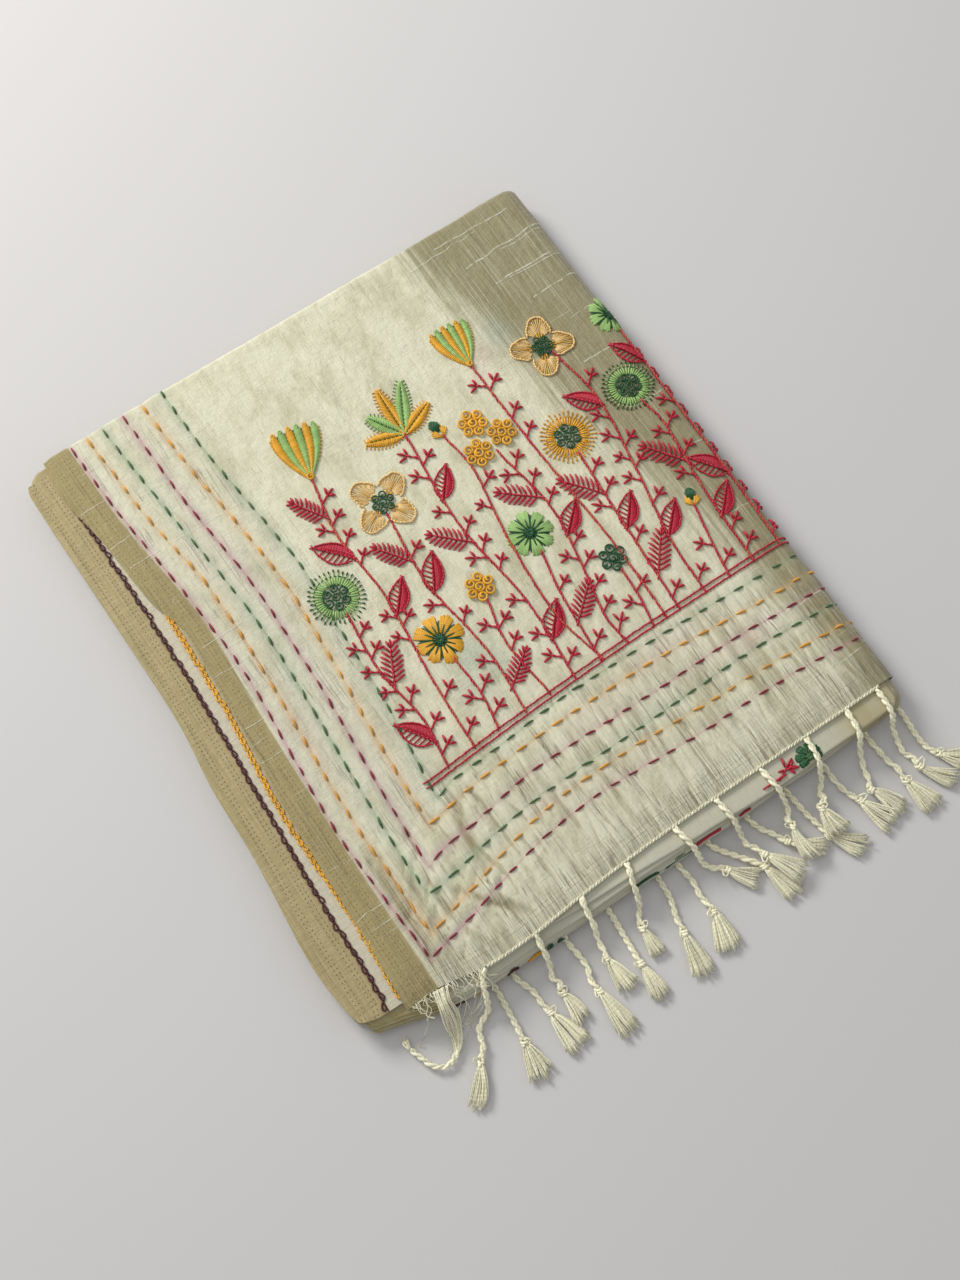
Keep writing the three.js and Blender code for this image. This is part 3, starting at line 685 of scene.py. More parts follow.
def twig(f):
    """A short side stem with three prongs."""
    f.spindle("crimson", 0, -0.8, 0.3, 4.0, 1.3, 0.8)
    f.spindle("crimson", 0.1, 2.8, 0.2, 7.4, 1.3, 0.8)
    for u, v in ((-3.9 - rng.uniform(0, 0.6), 9.4), (0.4, 11.8), (4.1, 8.6 + rng.uniform(0, 0.9))):
        f.spindle("crimson", 0.1 * u, 6.0, u, v, 1.5, 0.9)
        f.spindle("crimson", 0.2 * u, 6.2, u * 0.8, v * 0.97, 1.1, 0.9, 0.25)


def fern(f):
    """A midrib with pairs of straight stitches."""
    rope(f.work, "crimson", np.array([f.at(0, v) for v in np.arange(0, 21, 2.1)]), 1.1)
    for i in range(8):
        v = 3.0 + i * 2.55
        wide = 6.0 if i < 5 else 6.0 - 1.1 * (i - 4)
        for side in (-1, 1):
            f.spindle("crimson", 0.2 * side, v, side * (wide + rng.normal(0, 0.25)), v + 3.9, 1.35, 0.85)
    f.spindle("crimson", 0, 20.5, 0.2, 25.6, 1.4, 0.85)


def leaf(f, colour="crimson"):
    """One half filled, and the other open with rungs."""
    t = np.linspace(0, 1, 13)
    for side in (-1, 1):
        half = 5.6 * np.sin(np.pi * t**0.85) ** 0.85 * (1 - 0.1 * t)
        rim = np.array([f.at(side * w, 21 * k + 0.4) for w, k in zip(half, t)])
        rope(f.work, colour, rim, 1.0, 3.2, 0.7)
    rope(f.work, colour, np.array([f.at(0, v) for v in np.arange(0, 21, 2.2)]), 1.0, 3.4, 0.9, 0.2)

    def half_width(v):
        k = min(1, max(0, v / 21))
        return 5.6 * math.sin(math.pi * k**0.85) ** 0.85 * (1 - 0.1 * k) if 0 < k < 1 else 0

    for v in np.arange(0.6, 18.4, 0.78):
        f.thread(colour, 0, v, half_width(v + 2.0) * 0.97, v + 2.0, 1.0, 0.6)
    for v in np.arange(2.4, 17, 2.5):
        f.thread(colour, 0, v, -half_width(v + 2.2) * 0.97, v + 2.2, 0.85, 0.5)


def wheel(f, petals, spokes):
    """Eight wedges of satin stitch between spokes."""
    for i in range(8):
        mid = i * 45 + 6
        size = rng.uniform(0.94, 1.05)
        for j in range(-4, 5):
            a = math.radians(mid + j * 3.6)
            reach = 13.2 * size * (1 - 0.04 * abs(j) / 4) + rng.normal(0, 0.35)
            f.ray(petals, a, 3.0, reach, 1.1, 0.65)
        f.ray(spokes, math.radians(mid + rng.normal(0, 1.5)), 0, 8.8, 0.8, 0.5, 0.6)
        for turn in (19.5, 25.5):
            f.ray(spokes, math.radians(mid + turn), 1.5, rng.uniform(9.6, 11.6), 0.75, 0.6, 0.1)
    for degrees in range(0, 360, 30):
        f.ray(spokes, math.radians(degrees), 0, 3.2, 1.0, 0.6, 0.7)


def knots(f, colour, ring, radius, thick, base=0.0, count=7):
    for i in range(count):
        a = 2 * math.pi * i / count + 0.3
        f.coil(colour, ring * math.cos(a), ring * math.sin(a), radius, thick, base)
    f.coil(colour, 0, 0, radius, thick, base + 0.2)


def ring_flower(f, ring, tips):
    """A fringed ring of short open stitches round coiled knots."""
    for i in range(44):
        f.ray(ring, 2 * math.pi * (i + rng.uniform(-0.15, 0.15)) / 44, 6.4, 11.2, 1.05, 0.5)
    for i in range(36):
        a, reach = 2 * math.pi * (i + 0.3) / 36, 14.0 + rng.normal(0, 0.4)
        f.ray(ring, a, 10.4, reach, 0.65, 0.45)
        f.ray(tips, a, reach - 1.0, reach + 0.6, 0.8, 0.6, 0.1)
    for reach, count in ((11.3, 30), (6.9, 22)):
        for i in range(count):
            a = 2 * math.pi * i / count
            s, c = math.sin(a), math.cos(a)
            t, d = math.sin(a + 1.1 / reach), math.cos(a + 1.1 / reach)
            f.thread(tips, reach * s, reach * c, reach * t, reach * d, 0.6, 0.5, 0.25)
    knots(f, "pine", 4.9, 2.4, 0.95, 0.35, 6)


def petal_flower(f):
    """Four open petals of spaced threads inside a stitched rim, round coiled knots."""
    for i in range(4):
        p = f.inner(0, 0, 45 + 90 * i)

        def rim(k):
            a = math.radians(-112 + 224 * k)
            wide = 6.4 + 0.7 * math.cos(3 * a)
            return wide * math.sin(a), 10.8 + 7.0 * math.cos(a)

        line = np.array([p.at(*rim(k)) for k in np.linspace(0, 1, 17)])
        rope(f.work, "pale", line, 1.0, 2.8, 0.6)
        for k in np.linspace(0.03, 0.97, 19):
            u, v = rim(k)
            p.thread("pale", u * 0.42, 6.0 + 0.12 * (v - 6.0), u * 0.97, v * 0.985, 0.55, 0.35)
        for k in np.linspace(0.1, 0.9, 8):
            u, v = rim(k)
            p.thread("orange", u * 0.72, 5.0 + (v - 5.0) * 0.72, u, v, 0.45, 0.35, 0.2)
        p.thread("orange", 0, 4.4, 0, 14, 0.6, 0.4, 0.25)
        for u in (-1.6, 1.6):
            p.thread("orange", u * 0.4, 3.6, u, 7.6, 0.8, 0.5, 0.3)
    knots(f, "pine", 4.3, 2.15, 0.9, 0.45, 6)


def tulip(f):
    """Six beaded stripes that spread from the stem's end and stand side by side."""
    lanes = (-10.8, -6.6, -2.2, 2.2, 6.6, 10.8)

    def lane_at(lane, k):
        return lane * (1 - (1 - k) ** 2.1), (29.5 - 0.012 * lane * lane) * k

    for lane, colour in zip(lanes, ("orange", "leaf") * 3):
        for k in np.linspace(0.05, 1, 30):
            u, v = lane_at(lane, k)
            taper = math.sqrt(max(0.1, 1 - max(0, (k - 0.86) / 0.16) ** 2))
            w = (0.7 + 1.5 * min(1, k * 1.6)) * taper
            f.thread(colour, u - w, v - 0.35, u + w, v + 0.35, 1.15, 0.85)
        u, v = lane_at(lane, 1)
        f.coil(colour, u, v + 0.4, 1.3, 0.9, 0.2)
    for lane in (-13.2, -8.7, -4.4, 0, 4.4, 8.7, 13.2):
        for k in np.arange(0.3, 0.97, 0.07):
            (u1, v1), (u2, v2) = lane_at(lane, k), lane_at(lane, k + 0.035)
            edge = abs(lane) > 13
            f.thread("orange" if edge else "pine", u1, v1, u2, v2, 0.6, 0.45, 0.25)
    f.coil("orange", 0, 0.8, 2.2, 1.2, 0.5)


def leaf_fan(f):
    rows = ((-70, 21, "orange"), (-30, 22, "leaf"), (4, 29, "orange"), (30, 30, "leaf"),
            (68, 22, "orange"))
    for degrees, reach, colour in rows:
        p = f.inner(0, 0, degrees)
        for index, v in enumerate(np.arange(0.6, reach - 0.5, 0.95)):
            k = v / reach
            w = 3.7 * math.sin(math.pi * k**0.85) ** 0.7
            for side in (-1, 1):
                p.thread(colour, 0, v - 0.6, side * w, v + 1.2, 1.15, 0.8)
                if index % 2 == 0:
                    p.thread(colour, side * w, v + 1.1, side * (w + 1.5), v + 1.5, 0.6, 0.45)
                    p.thread("pine" if colour == "leaf" else "orange", side * (w + 0.9), v + 1.3,
                             side * (w + 1.7), v + 1.6, 0.5, 0.4, 0.1)
        for v in np.arange(1.5, reach - 2, 2.2):
            p.thread("pine", 0, v, 0, v + 1.3, 0.55, 0.4, 0.55)


def rosette(f, colour):
    knots(f, colour, 5.6, 2.95, 1.3 if colour == "orange" else 1.0, 0.1, 6)


def berries(f):
    for u, v in ((-8.6, 1.0), (8.8, 3.2), (-0.6, 16.8)):
        rosette(f.inner(u, v, 20 * u), "orange")


def bud(f):
    for u in np.arange(-2.1, 2.2, 0.7):
        top = 9.5 - 0.45 * u * u
        f.thread("pine", u * 0.8, 3 + 0.3 * abs(u), u, top, 1.1, 0.9)
    for side in (-1, 1):
        for k in range(5):
            f.thread("orange", 0.2 * side, 0.2, side * (2.2 + 0.42 * k), 6.6 - 0.9 * k, 1.0, 0.7)


HEADS = {
    "green_wheel": lambda f: wheel(f, "leaf", "pine"),
    "yellow_wheel": lambda f: wheel(f, "orange", "pine"),
    "green_ring": lambda f: ring_flower(f, "leaf", "pine"),
    "yellow_ring": lambda f: ring_flower(f, "orange", "orange"),
    "petals": petal_flower,
    "tulip": tulip,
    "fan": leaf_fan,
    "berries": berries,
    "yellow_rosette": lambda f: rosette(f, "orange"),
    "pine_rosette": lambda f: rosette(f, "pine"),
    "bud": bud,
}

# Plants of the flowered part: the stem's points, the head with its place past the
# stem's end, its turn and size, and what grows at the sides, by share, side and kind
PLANTS = [
    ([(-64, -79), (-61, -52), (-65, -20), (-62, 12)], ("green_ring", 11, 0, 1.0),
     [(0.14, -1, "leaf"), (0.5, 1, "fern")]),
    ([(-48, -78), (-46, -40), (-41, 10), (-43, 50), (-37, 84)], ("tulip", 0, 8, 1.0),
     [(0.47, 1, "leaf"), (0.7, -1, "leaf"), (0.86, -1, "fern")]),
    ([(-33, -77), (-30, -58), (-31, -36)], ("yellow_wheel", 12, 0, 1.0), [(0.36, -1, "twig")]),
    ([(-17, -77), (-15, -40), (-20, 4), (-16, 46)], ("petals", 7, 12, 1.0),
     [(0.1, 1, "fern"), (0.62, 1, "leaf"), (0.78, -1, "fern")]),
    ([(-2, -76), (-5, -44), (0, -20)], ("yellow_rosette", 8, 0, 0.95), [(0.72, -1, "twig")]),
    ([(13, -76), (16, -30), (11, 22), (16, 78)], ("fan", 0, -4, 1.0),
     [(0.14, 1, "leaf"), (0.55, -1, "fern"), (0.74, 1, "leaf")]),
    ([(29, -76), (32, -40), (37, -14)], ("green_wheel", 12, 0, 0.95), [(0.36, 1, "fern")]),
    ([(45, -76), (44, -58), (50, -30), (55, 4), (50, 44)], ("berries", 4, 0, 0.95),
     [(0.52, 1, "leaf"), (0.72, -1, "fern")]),
    ([(61, -76), (64, -60), (65, -44)], ("pine_rosette", 8, 0, 0.9), [(0.6, 1, "twig")]),
    ([(77, -76), (80, -30), (84, 20)], ("yellow_ring", 11, 0, 1.0),
     [(0.2, 1, "fern"), (0.52, 1, "leaf"), (0.74, -1, "fern")]),
    ([(93, -76), (95, -44), (103, -4), (110, 40), (106, 74)], ("petals", 7, -20, 0.95),
     [(0.22, 1, "leaf"), (0.74, -1, "leaf")]),
    ([(108, -76), (112, -54), (116, -36)], ("bud", 0, 10, 1.1), [(0.4, -1, "twig")]),
    ([(123, -76), (125, -34), (130, 8), (128, 26)], ("green_ring", 11, 0, 0.95),
     [(0.28, 1, "leaf"), (0.6, -1, "fern")]),
    ([(140, -76), (142, -30), (143, 20), (144, 66)], ("green_wheel", 11, 0, 0.9),
     [(0.32, -1, "leaf"), (0.85, -1, "leaf")]),
    ([(69, -76), (70, -30), (67, 40), (66, 92)], ("tulip", 0, 4, 0.86), [(0.9, 1, "twig")]),
    ([(30, -76), (24, -44), (27, 0), (34, 42), (32, 66)], ("bud", 0, -6, 1.2), []),
]
HEAD_REACH = {"green_ring": 15, "yellow_ring": 15, "green_wheel": 14, "yellow_wheel": 14,
              "petals": 17, "tulip": 18, "fan": 22, "berries": 18, "yellow_rosette": 9,
              "pine_rosette": 9, "bud": 7}
SPRIGS = {"twig": twig, "fern": fern, "leaf": leaf, "bud": bud}
SPRIG_TURN = {"twig": 52, "fern": 42, "leaf": 38, "bud": 30}


def sprig(work, kind, path, share, side):
    i = min(len(path) - 1, round(share * (len(path) - 1)))
    before, after = path[max(0, i - 1)], path[min(len(path) - 1, i + 1)]
    heading = math.degrees(math.atan2(*(after - before)))
    turn = side * (SPRIG_TURN[kind] + rng.normal(0, 4))
    SPRIGS[kind](Turned(work, *path[i], heading + turn, rng.uniform(0.9, 1.06)))
    ahead = math.radians(heading + turn)
    reach = {"twig": 7, "bud": 6}.get(kind, 12)
    return path[i][0] + reach * math.sin(ahead), path[i][1] + reach * math.cos(ahead)


def free_twigs(work, paths, taken):
    """Small twigs on alternate sides of each stem, wherever there is room for one."""
    stems = np.concatenate(paths)
    for path in paths:
        side = rng.choice([-1, 1])
        for i in range(3, len(path) - 3, 2):
            heading = math.atan2(*(path[i + 1] - path[i - 1]))
            for way in (side, -side):
                turn = heading + way * math.radians(SPRIG_TURN["twig"])
                near, far = (path[i] + reach * np.array([math.sin(turn), math.cos(turn)])
                             for reach in (6.5, 9.5))
                room = all(math.dist(near, spot[:2]) > spot[2] + 4.2 for spot in taken)
                if room and np.min(np.linalg.norm(stems - far, axis=1)) > 5.0:
                    SPRIGS["twig"](Turned(work, *path[i], math.degrees(turn), rng.uniform(0.85, 1.0)))
                    taken.append((*near, 5.5))
                    side = -way
                    break


def garden(work, plants):
    paths, taken = [], []
    for points, head, sprigs in plants:
        path = smooth_path(points, 2.15)
        rust = rng.random(len(path)) < rng.choice([0.1, 0.35, 0.6])
        rope(work, "crimson", path, 1.15, 3.7, 0.8, keep=~rust)
        rope(work, "rust", path, 1.15, 3.7, 0.8, keep=rust)
        for share, side, kind in sprigs:
            taken.append((*sprig(work, kind, path, share, side), 5 if kind == "twig" else 8))
        kind, ahead, turn, size = head
        heading = math.degrees(math.atan2(*(path[-1] - path[-2])))
        f = Turned(work, *path[-1], heading * 0.5 + turn, size)
        HEADS[kind](f.inner(0, ahead / size, 0))
        middle = ahead + (HEAD_REACH[kind] - 3 if ahead < 5 else 0)
        taken.append((*f.at(0, middle), HEAD_REACH[kind] * size))
        paths.append(path)
    free_twigs(work, paths, taken)


COLOURS = ("crimson", "maroon", "orange", "pale", "leaf", "pine", "moss", "amber", "rust", "wine")
# The thread of each kind of running row, and how fat its stitches are
DASHES = {"crimson": ("wine", 1.0), "orange": ("amber", 1.12), "leaf": ("moss", 1.0)}
yarns = {name: Yarn("stitches_" + name) for name in COLOURS}


def running_row(work, colour, path, flat=None):
    thread, fat = DASHES[colour]
    dashes(work, thread, path, flat or fat, rng.uniform(0, 4))


face_work = Embroidery(lay, lambda s, y: s < STITCH_END_S)
for colour, points in SIDE_ROWS:
    at = np.arange(STITCH_BACK_Y, points[0][0], -1.0)
    running_row(face_work, colour, np.stack([curve(points, at), at], -1))
for colour, points in END_ROWS:
    at = np.arange(points[0][0], STITCH_END_S, 1.0)
    running_row(face_work, colour, np.stack([at, curve(points, at)], -1))
for offset in (-1.4, 1.4):
    at = np.arange(-77.5, STITCH_END_S, 2.1)
    rope(face_work, "crimson", np.stack([at, curve(BASELINE, at) + offset], -1), 0.9, 3.6, 0.6)
garden(face_work, PLANTS)
face_work.stitch_into(yarns)

second_work = Embroidery(lay_second)


def chain(work, colour, row, y_from, reach, width, thick, pitch):
    """Chain stitches down a row, each a loop with a thread that holds it."""
    for y in np.arange(y_from, -157.5, -pitch):
        here, ahead = curve(row, y), curve(row, y - 1)
        heading = math.atan2(ahead - here, -1.0) + rng.normal(0, 0.07)
        work.link(colour, here + rng.normal(0, 0.12), y, heading, reach, width, thick)
        work.thread(colour, here, y - reach * 0.5, ahead, y - pitch - 0.6, 0.75, 0.5, 0.05)


chain(second_work, "maroon", MAROON_ROW, 158, reach=4.4, width=1.8, thick=0.92, pitch=4.9)
chain(second_work, "orange", YELLOW_ROW, 72, reach=4.0, width=1.8, thick=0.95, pitch=3.6)
second_work.stitch_into(yarns)

# The end rows run on along the under half, pressed flat

UNDER_END_S = 412.0
under_work = Embroidery(lay_under)
for colour, points in END_ROWS:
    at = np.arange(166.0, UNDER_END_S, 1.0)
    running_row(under_work, colour, np.stack([at, curve(points, at)], -1), 0.6)
under_work.stitch_into(yarns)

# Bits of the same work on the folded layers, seen past the end

def lay_crown(x, y, lift=0.0):
    x, y, lift = arrays(x, y, lift)
    over = np.maximum(0, curve(CROWN_FRONT, x) + 0.6 - y)
    level = y + over
    return together(x, level, stack_top(x, level) - 1.3 * over + lift)


def lay_front(x, z, lift=0.0):
    x, z, lift = arrays(x, z, lift)
    front = curve(STACK_FRONT, z) + curve(DRAW_BACK, x)
    return together(x, front - 0.2 - lift, z)


crown_work = Embroidery(lay_crown, lambda x, y: y > curve(CROWN_FRONT, x) - 1.0)
front_work = Embroidery(lay_front)
wheel(Turned(crown_work, 85, -173.5, 20, 0.55), "pine", "moss")
twig(Turned(crown_work, 66, -174.5, 62, 1.1))
twig(Turned(crown_work, 68, -171.0, 108, 0.9))
rope(crown_work, "crimson", np.stack([np.arange(58, 70, 2.1), np.full(6, -174.0)], -1), 1.1)
for x_from, x_to, high, colour in (
    (-24, -8, 7.6, "pine"), (-4, 12, 7.0, "pine"), (13, 29, 8.4, "crimson"),
    (-96, -90, 6.5, "maroon"), (-84, -76, 6.2, "orange"), (-126, -119, 5.4, "maroon"),
    (-114, -110, 4.6, "orange"), (40, 47, 8.2, "crimson"),
):
    for x in np.arange(x_from, x_to, 0.9):
        arch = 1.2 * math.sin(math.pi * (x - x_from) / (x_to - x_from))
        front_work.thread(colour, x, high - 0.7 + arch, x + 0.5, high + 1.0 + arch, 1.0, 0.6)
for x, high in ((-72, 7.4), (-66, 6.4)):
    front_work.coil("pine", x, high, 2.0, 0.9)
crown_work.stitch_into(yarns)
front_work.stitch_into(yarns)

# The sheets

def face_sheet():
    y_rows = np.concatenate([np.linspace(0, 0.3, 48), np.linspace(0.3, 1, 76)[1:]])
    lip = LIP_Y + np.linspace(0, LIP_RADIUS * np.pi / 2, 6)[1:]
    shares = np.concatenate([[0, 0.25, 0.7], np.linspace(0, 1, 325)[1:] * 274 + 1.2])
    shares[:3] *= 1.2
    fold = FOLD_START_X + np.linspace(0, FOLD_END_S - FOLD_START_X, 23)[1:]
    grid_s, grid_y = [], []
    for share in y_rows:
        rough = FRONT_Y + share * (LIP_Y - FRONT_Y)
        left = float(curve(FACE_LEFT, rough))
        s = left + shares * (FOLD_START_X - left) / shares[-1]
        s = np.concatenate([s, fold])
        end = face_end(s)
        grid_s.append(s)
        grid_y.append(end + share * (LIP_Y - end))
    for y in lip:
        grid_s.append(grid_s[-1])
        grid_y.append(np.full_like(grid_s[-1], y))
    s, y = np.array(grid_s), np.array(grid_y)
    outer = lay(s, y)
    level = np.minimum(y, LIP_Y)
    zones = together(s - curve(BORDER_EDGE, level), s - curve(BAND_EDGE, level), y - face_end(s))
    valley = relief(s, level)
    smooth = sum(relief(s + off, level) for off in (-1.5, 1.5, -2.6, 2.6)) / 4
    # The second part of rows is how far the relief dips below its neighbours; the material paints shade
    # into these troughs.
    rows = together(running_phase(s, level), valley - smooth, 0)
    # The last part of these values is painted fold shade; the first two are tints that show through.
    values = {"flat": together(s, y, 0), "zones": zones, "rows": rows, "shown_tints_and_shade": tints_and_fold_shade(s, y)}
    return shell("cloth_face", outer, lay(s, y, -SHEET), values)


# Faint colour that shows through from the layer beneath: place, radii, and strength
GHOSTS = [
    ("green", -22, -40, 15, 11, 0.55), ("green", -14, -52, 10, 8, 0.5),
    ("green", -30, -56, 9, 7, 0.4), ("pink", -40, -28, 9, 6, 0.35),
    ("pink", 72, 94, 9, 8, 0.45), ("green", 88, 100, 8, 10, 0.45), ("pink", 66, 84, 6, 5, 0.35),
    ("pink", -112, -28, 9, 30, 0.3), ("pink", -104, 80, 8, 24, 0.22), ("pink", 55, -88, 26, 8, 0.3),
    ("pink", 10, -96, 22, 7, 0.25), ("green", -98, 20, 8, 30, 0.2), ("pink", 95, -108, 18, 8, 0.35),
    ("green", -72, -30, 5, 60, 0.18), ("green", -70, 60, 5, 50, 0.18), ("pink", -34, -120, 16, 7, 0.25),
    ("green", 30, -112, 20, 6, 0.18), ("pink", -88, -60, 7, 26, 0.22), ("pink", 4, -128, 30, 6, 0.2),
]


# Folds where the thin cloth lies doubled, darkened with painted brown shade: the two ends of each, its
# half width, and strength
FOLD_SHADES = [
    (-119, -88, -121, -164, 4.4, 1.0), (-110, -94, -114, -162, 2.8, 0.7),
    (-104, -108, -103, -142, 2.6, 0.55),
    (-99, -126, -73, -160, 2.0, 1.0), (-84, -138, -70, -162, 1.4, 0.7),
    (-72, -94, -79, -132, 3.6, 0.9), (-60, -92, -63, -128, 2.6, 0.6),
    (-104, -146, -92, -168, 2.4, 0.6), (-30, -92, -34, -152, 2.0, 0.5),
    (-4, -106, -6, -154, 1.6, 0.5), (26, -96, 24, -142, 2.2, 0.5),
    (58, -100, 57, -152, 1.8, 0.5), (86, -94, 84, -148, 2.4, 0.6),
    (-112, -40, -110, 30, 2.6, 0.3), (-86, 20, -84, 90, 2.4, 0.25),
]


def tints_and_fold_shade(s, y):
    """Pink and green show-through, and painted brown shade in folds, one value of each."""
    pink, green = np.zeros_like(s), np.zeros_like(s)
    for kind, cs, cy, rs, ry, strength in GHOSTS:
        blot = strength * np.exp(-(((s - cs) / rs) ** 2) - (((y - cy) / ry) ** 2))
        if kind == "pink":
            pink = np.maximum(pink, blot)
        else:
            green = np.maximum(green, blot)
    return together(pink, green, np.minimum(0.8, crease_height(s, y, FOLD_SHADES)))


def second_sheet():
    """Its left edge is a fold: the cloth turns under there and runs back a little."""
    sheet, radius, back = 0.42, 0.62, 15.0
    y_share = np.linspace(0, 1, 150)
    reach = np.concatenate([
        np.linspace(SECOND_INNER_X, -128, 26), np.linspace(-129, -166, 48)])
    spread = (reach - SECOND_INNER_X) / (reach[-1] - SECOND_INNER_X)
    grid = {"outer": [], "inner": [], "flat": [], "zones": []}
    for share in y_share:
        rough = -160 + share * (SECOND_BACK_Y + 160)
        left = float(curve(SECOND_LEFT, rough)) + radius
        x = SECOND_INNER_X + spread * (left - SECOND_INNER_X)
        turn = np.linspace(0, np.pi, 9)[1:-1]
        below = left + np.linspace(0, back, 7)
        all_x = np.concatenate([x, left - radius * np.sin(turn), below])
        end = curve(SECOND_END, all_x)
        y = end + share * (SECOND_BACK_Y - end)
        top = lay_second(np.concatenate([x, np.full(len(turn) + len(below), left)]), y)[:, 2]
        drop = np.concatenate([np.zeros(len(x)), radius * (1 - np.cos(turn)),
                               np.full(len(below), 2 * radius)])
        droop = second_top(np.full(len(below), left), y[-len(below):])
        follow = second_top(below, y[-len(below):]) - droop
        z = top - drop
        z[-len(below):] += np.minimum(follow, 0.35)
        nx = np.concatenate([np.zeros(len(x)), -np.sin(turn), np.zeros(len(below))])
        nz = np.concatenate([np.ones(len(x)), np.cos(turn), -np.ones(len(below))])
        grid["outer"].append(together(all_x, y, z))
        grid["inner"].append(together(all_x - nx * sheet, y, z - nz * sheet))
        flat_x = np.concatenate([x, left - radius * turn, left - radius * np.pi - (below - left)])
        grid["flat"].append(together(flat_x, y, 0))
        grid["zones"].append(together(
            flat_x - curve(MAROON_ROW, y), flat_x - curve(YELLOW_ROW, y), flat_x - left))
    grid = {key: np.array(value) for key, value in grid.items()}
    outer, inner = grid.pop("outer")[:, ::-1], grid.pop("inner")[:, ::-1]
    return shell("cloth_second", outer, inner, {k: v[:, ::-1] for k, v in grid.items()})


def under_sheet():
    """The under half lies flat, its fair side down."""
    u, v = np.meshgrid(np.linspace(0, 1, 90), np.linspace(0, 1, 90))
    left = -150 + 1.2 * np.sin(v * 9) + 0.5 * np.sin(v * 31)
    front = -167 + 0.8 * np.sin(u * 12 + 1) + 0.4 * np.sin(u * 37)
    x = left + (137.2 - left) * u
    y = front + (165.5 - front) * v
    s = FOLD_MIRROR - x
    values = {
        "flat": together(s, y, 0),
        "zones": together(x + 131, np.minimum(s - curve(BAND_EDGE, y), 198 - s), y + 167),
        "rows": together(row_phase(y, s, END_ROWS), 0, 0),
        "shown_tints_and_shade": np.zeros(s.shape + (3,)),
    }
    return shell("cloth_under", lay_under(s, y, -1.4), lay_under(s, y), values)


# Layers folded away inside

FOLD_LEVELS = [1.5, 2.7, 3.6, 4.8, 5.6, 6.5, 7.6, 8.4, 9.4, 10.4, 11.3, 12.2, 13.4, 14.6]


def stack_right(z, y):
    half = face_base(FOLD_START_X, y) / 2
    inset = WALL + SEAM + 2 * SLACK
    level = np.minimum(0.999, np.abs(z - half) / (half - inset))
    return FOLD_START_X + (FOLD_REACH - inset) * np.sqrt(1 - level**2)


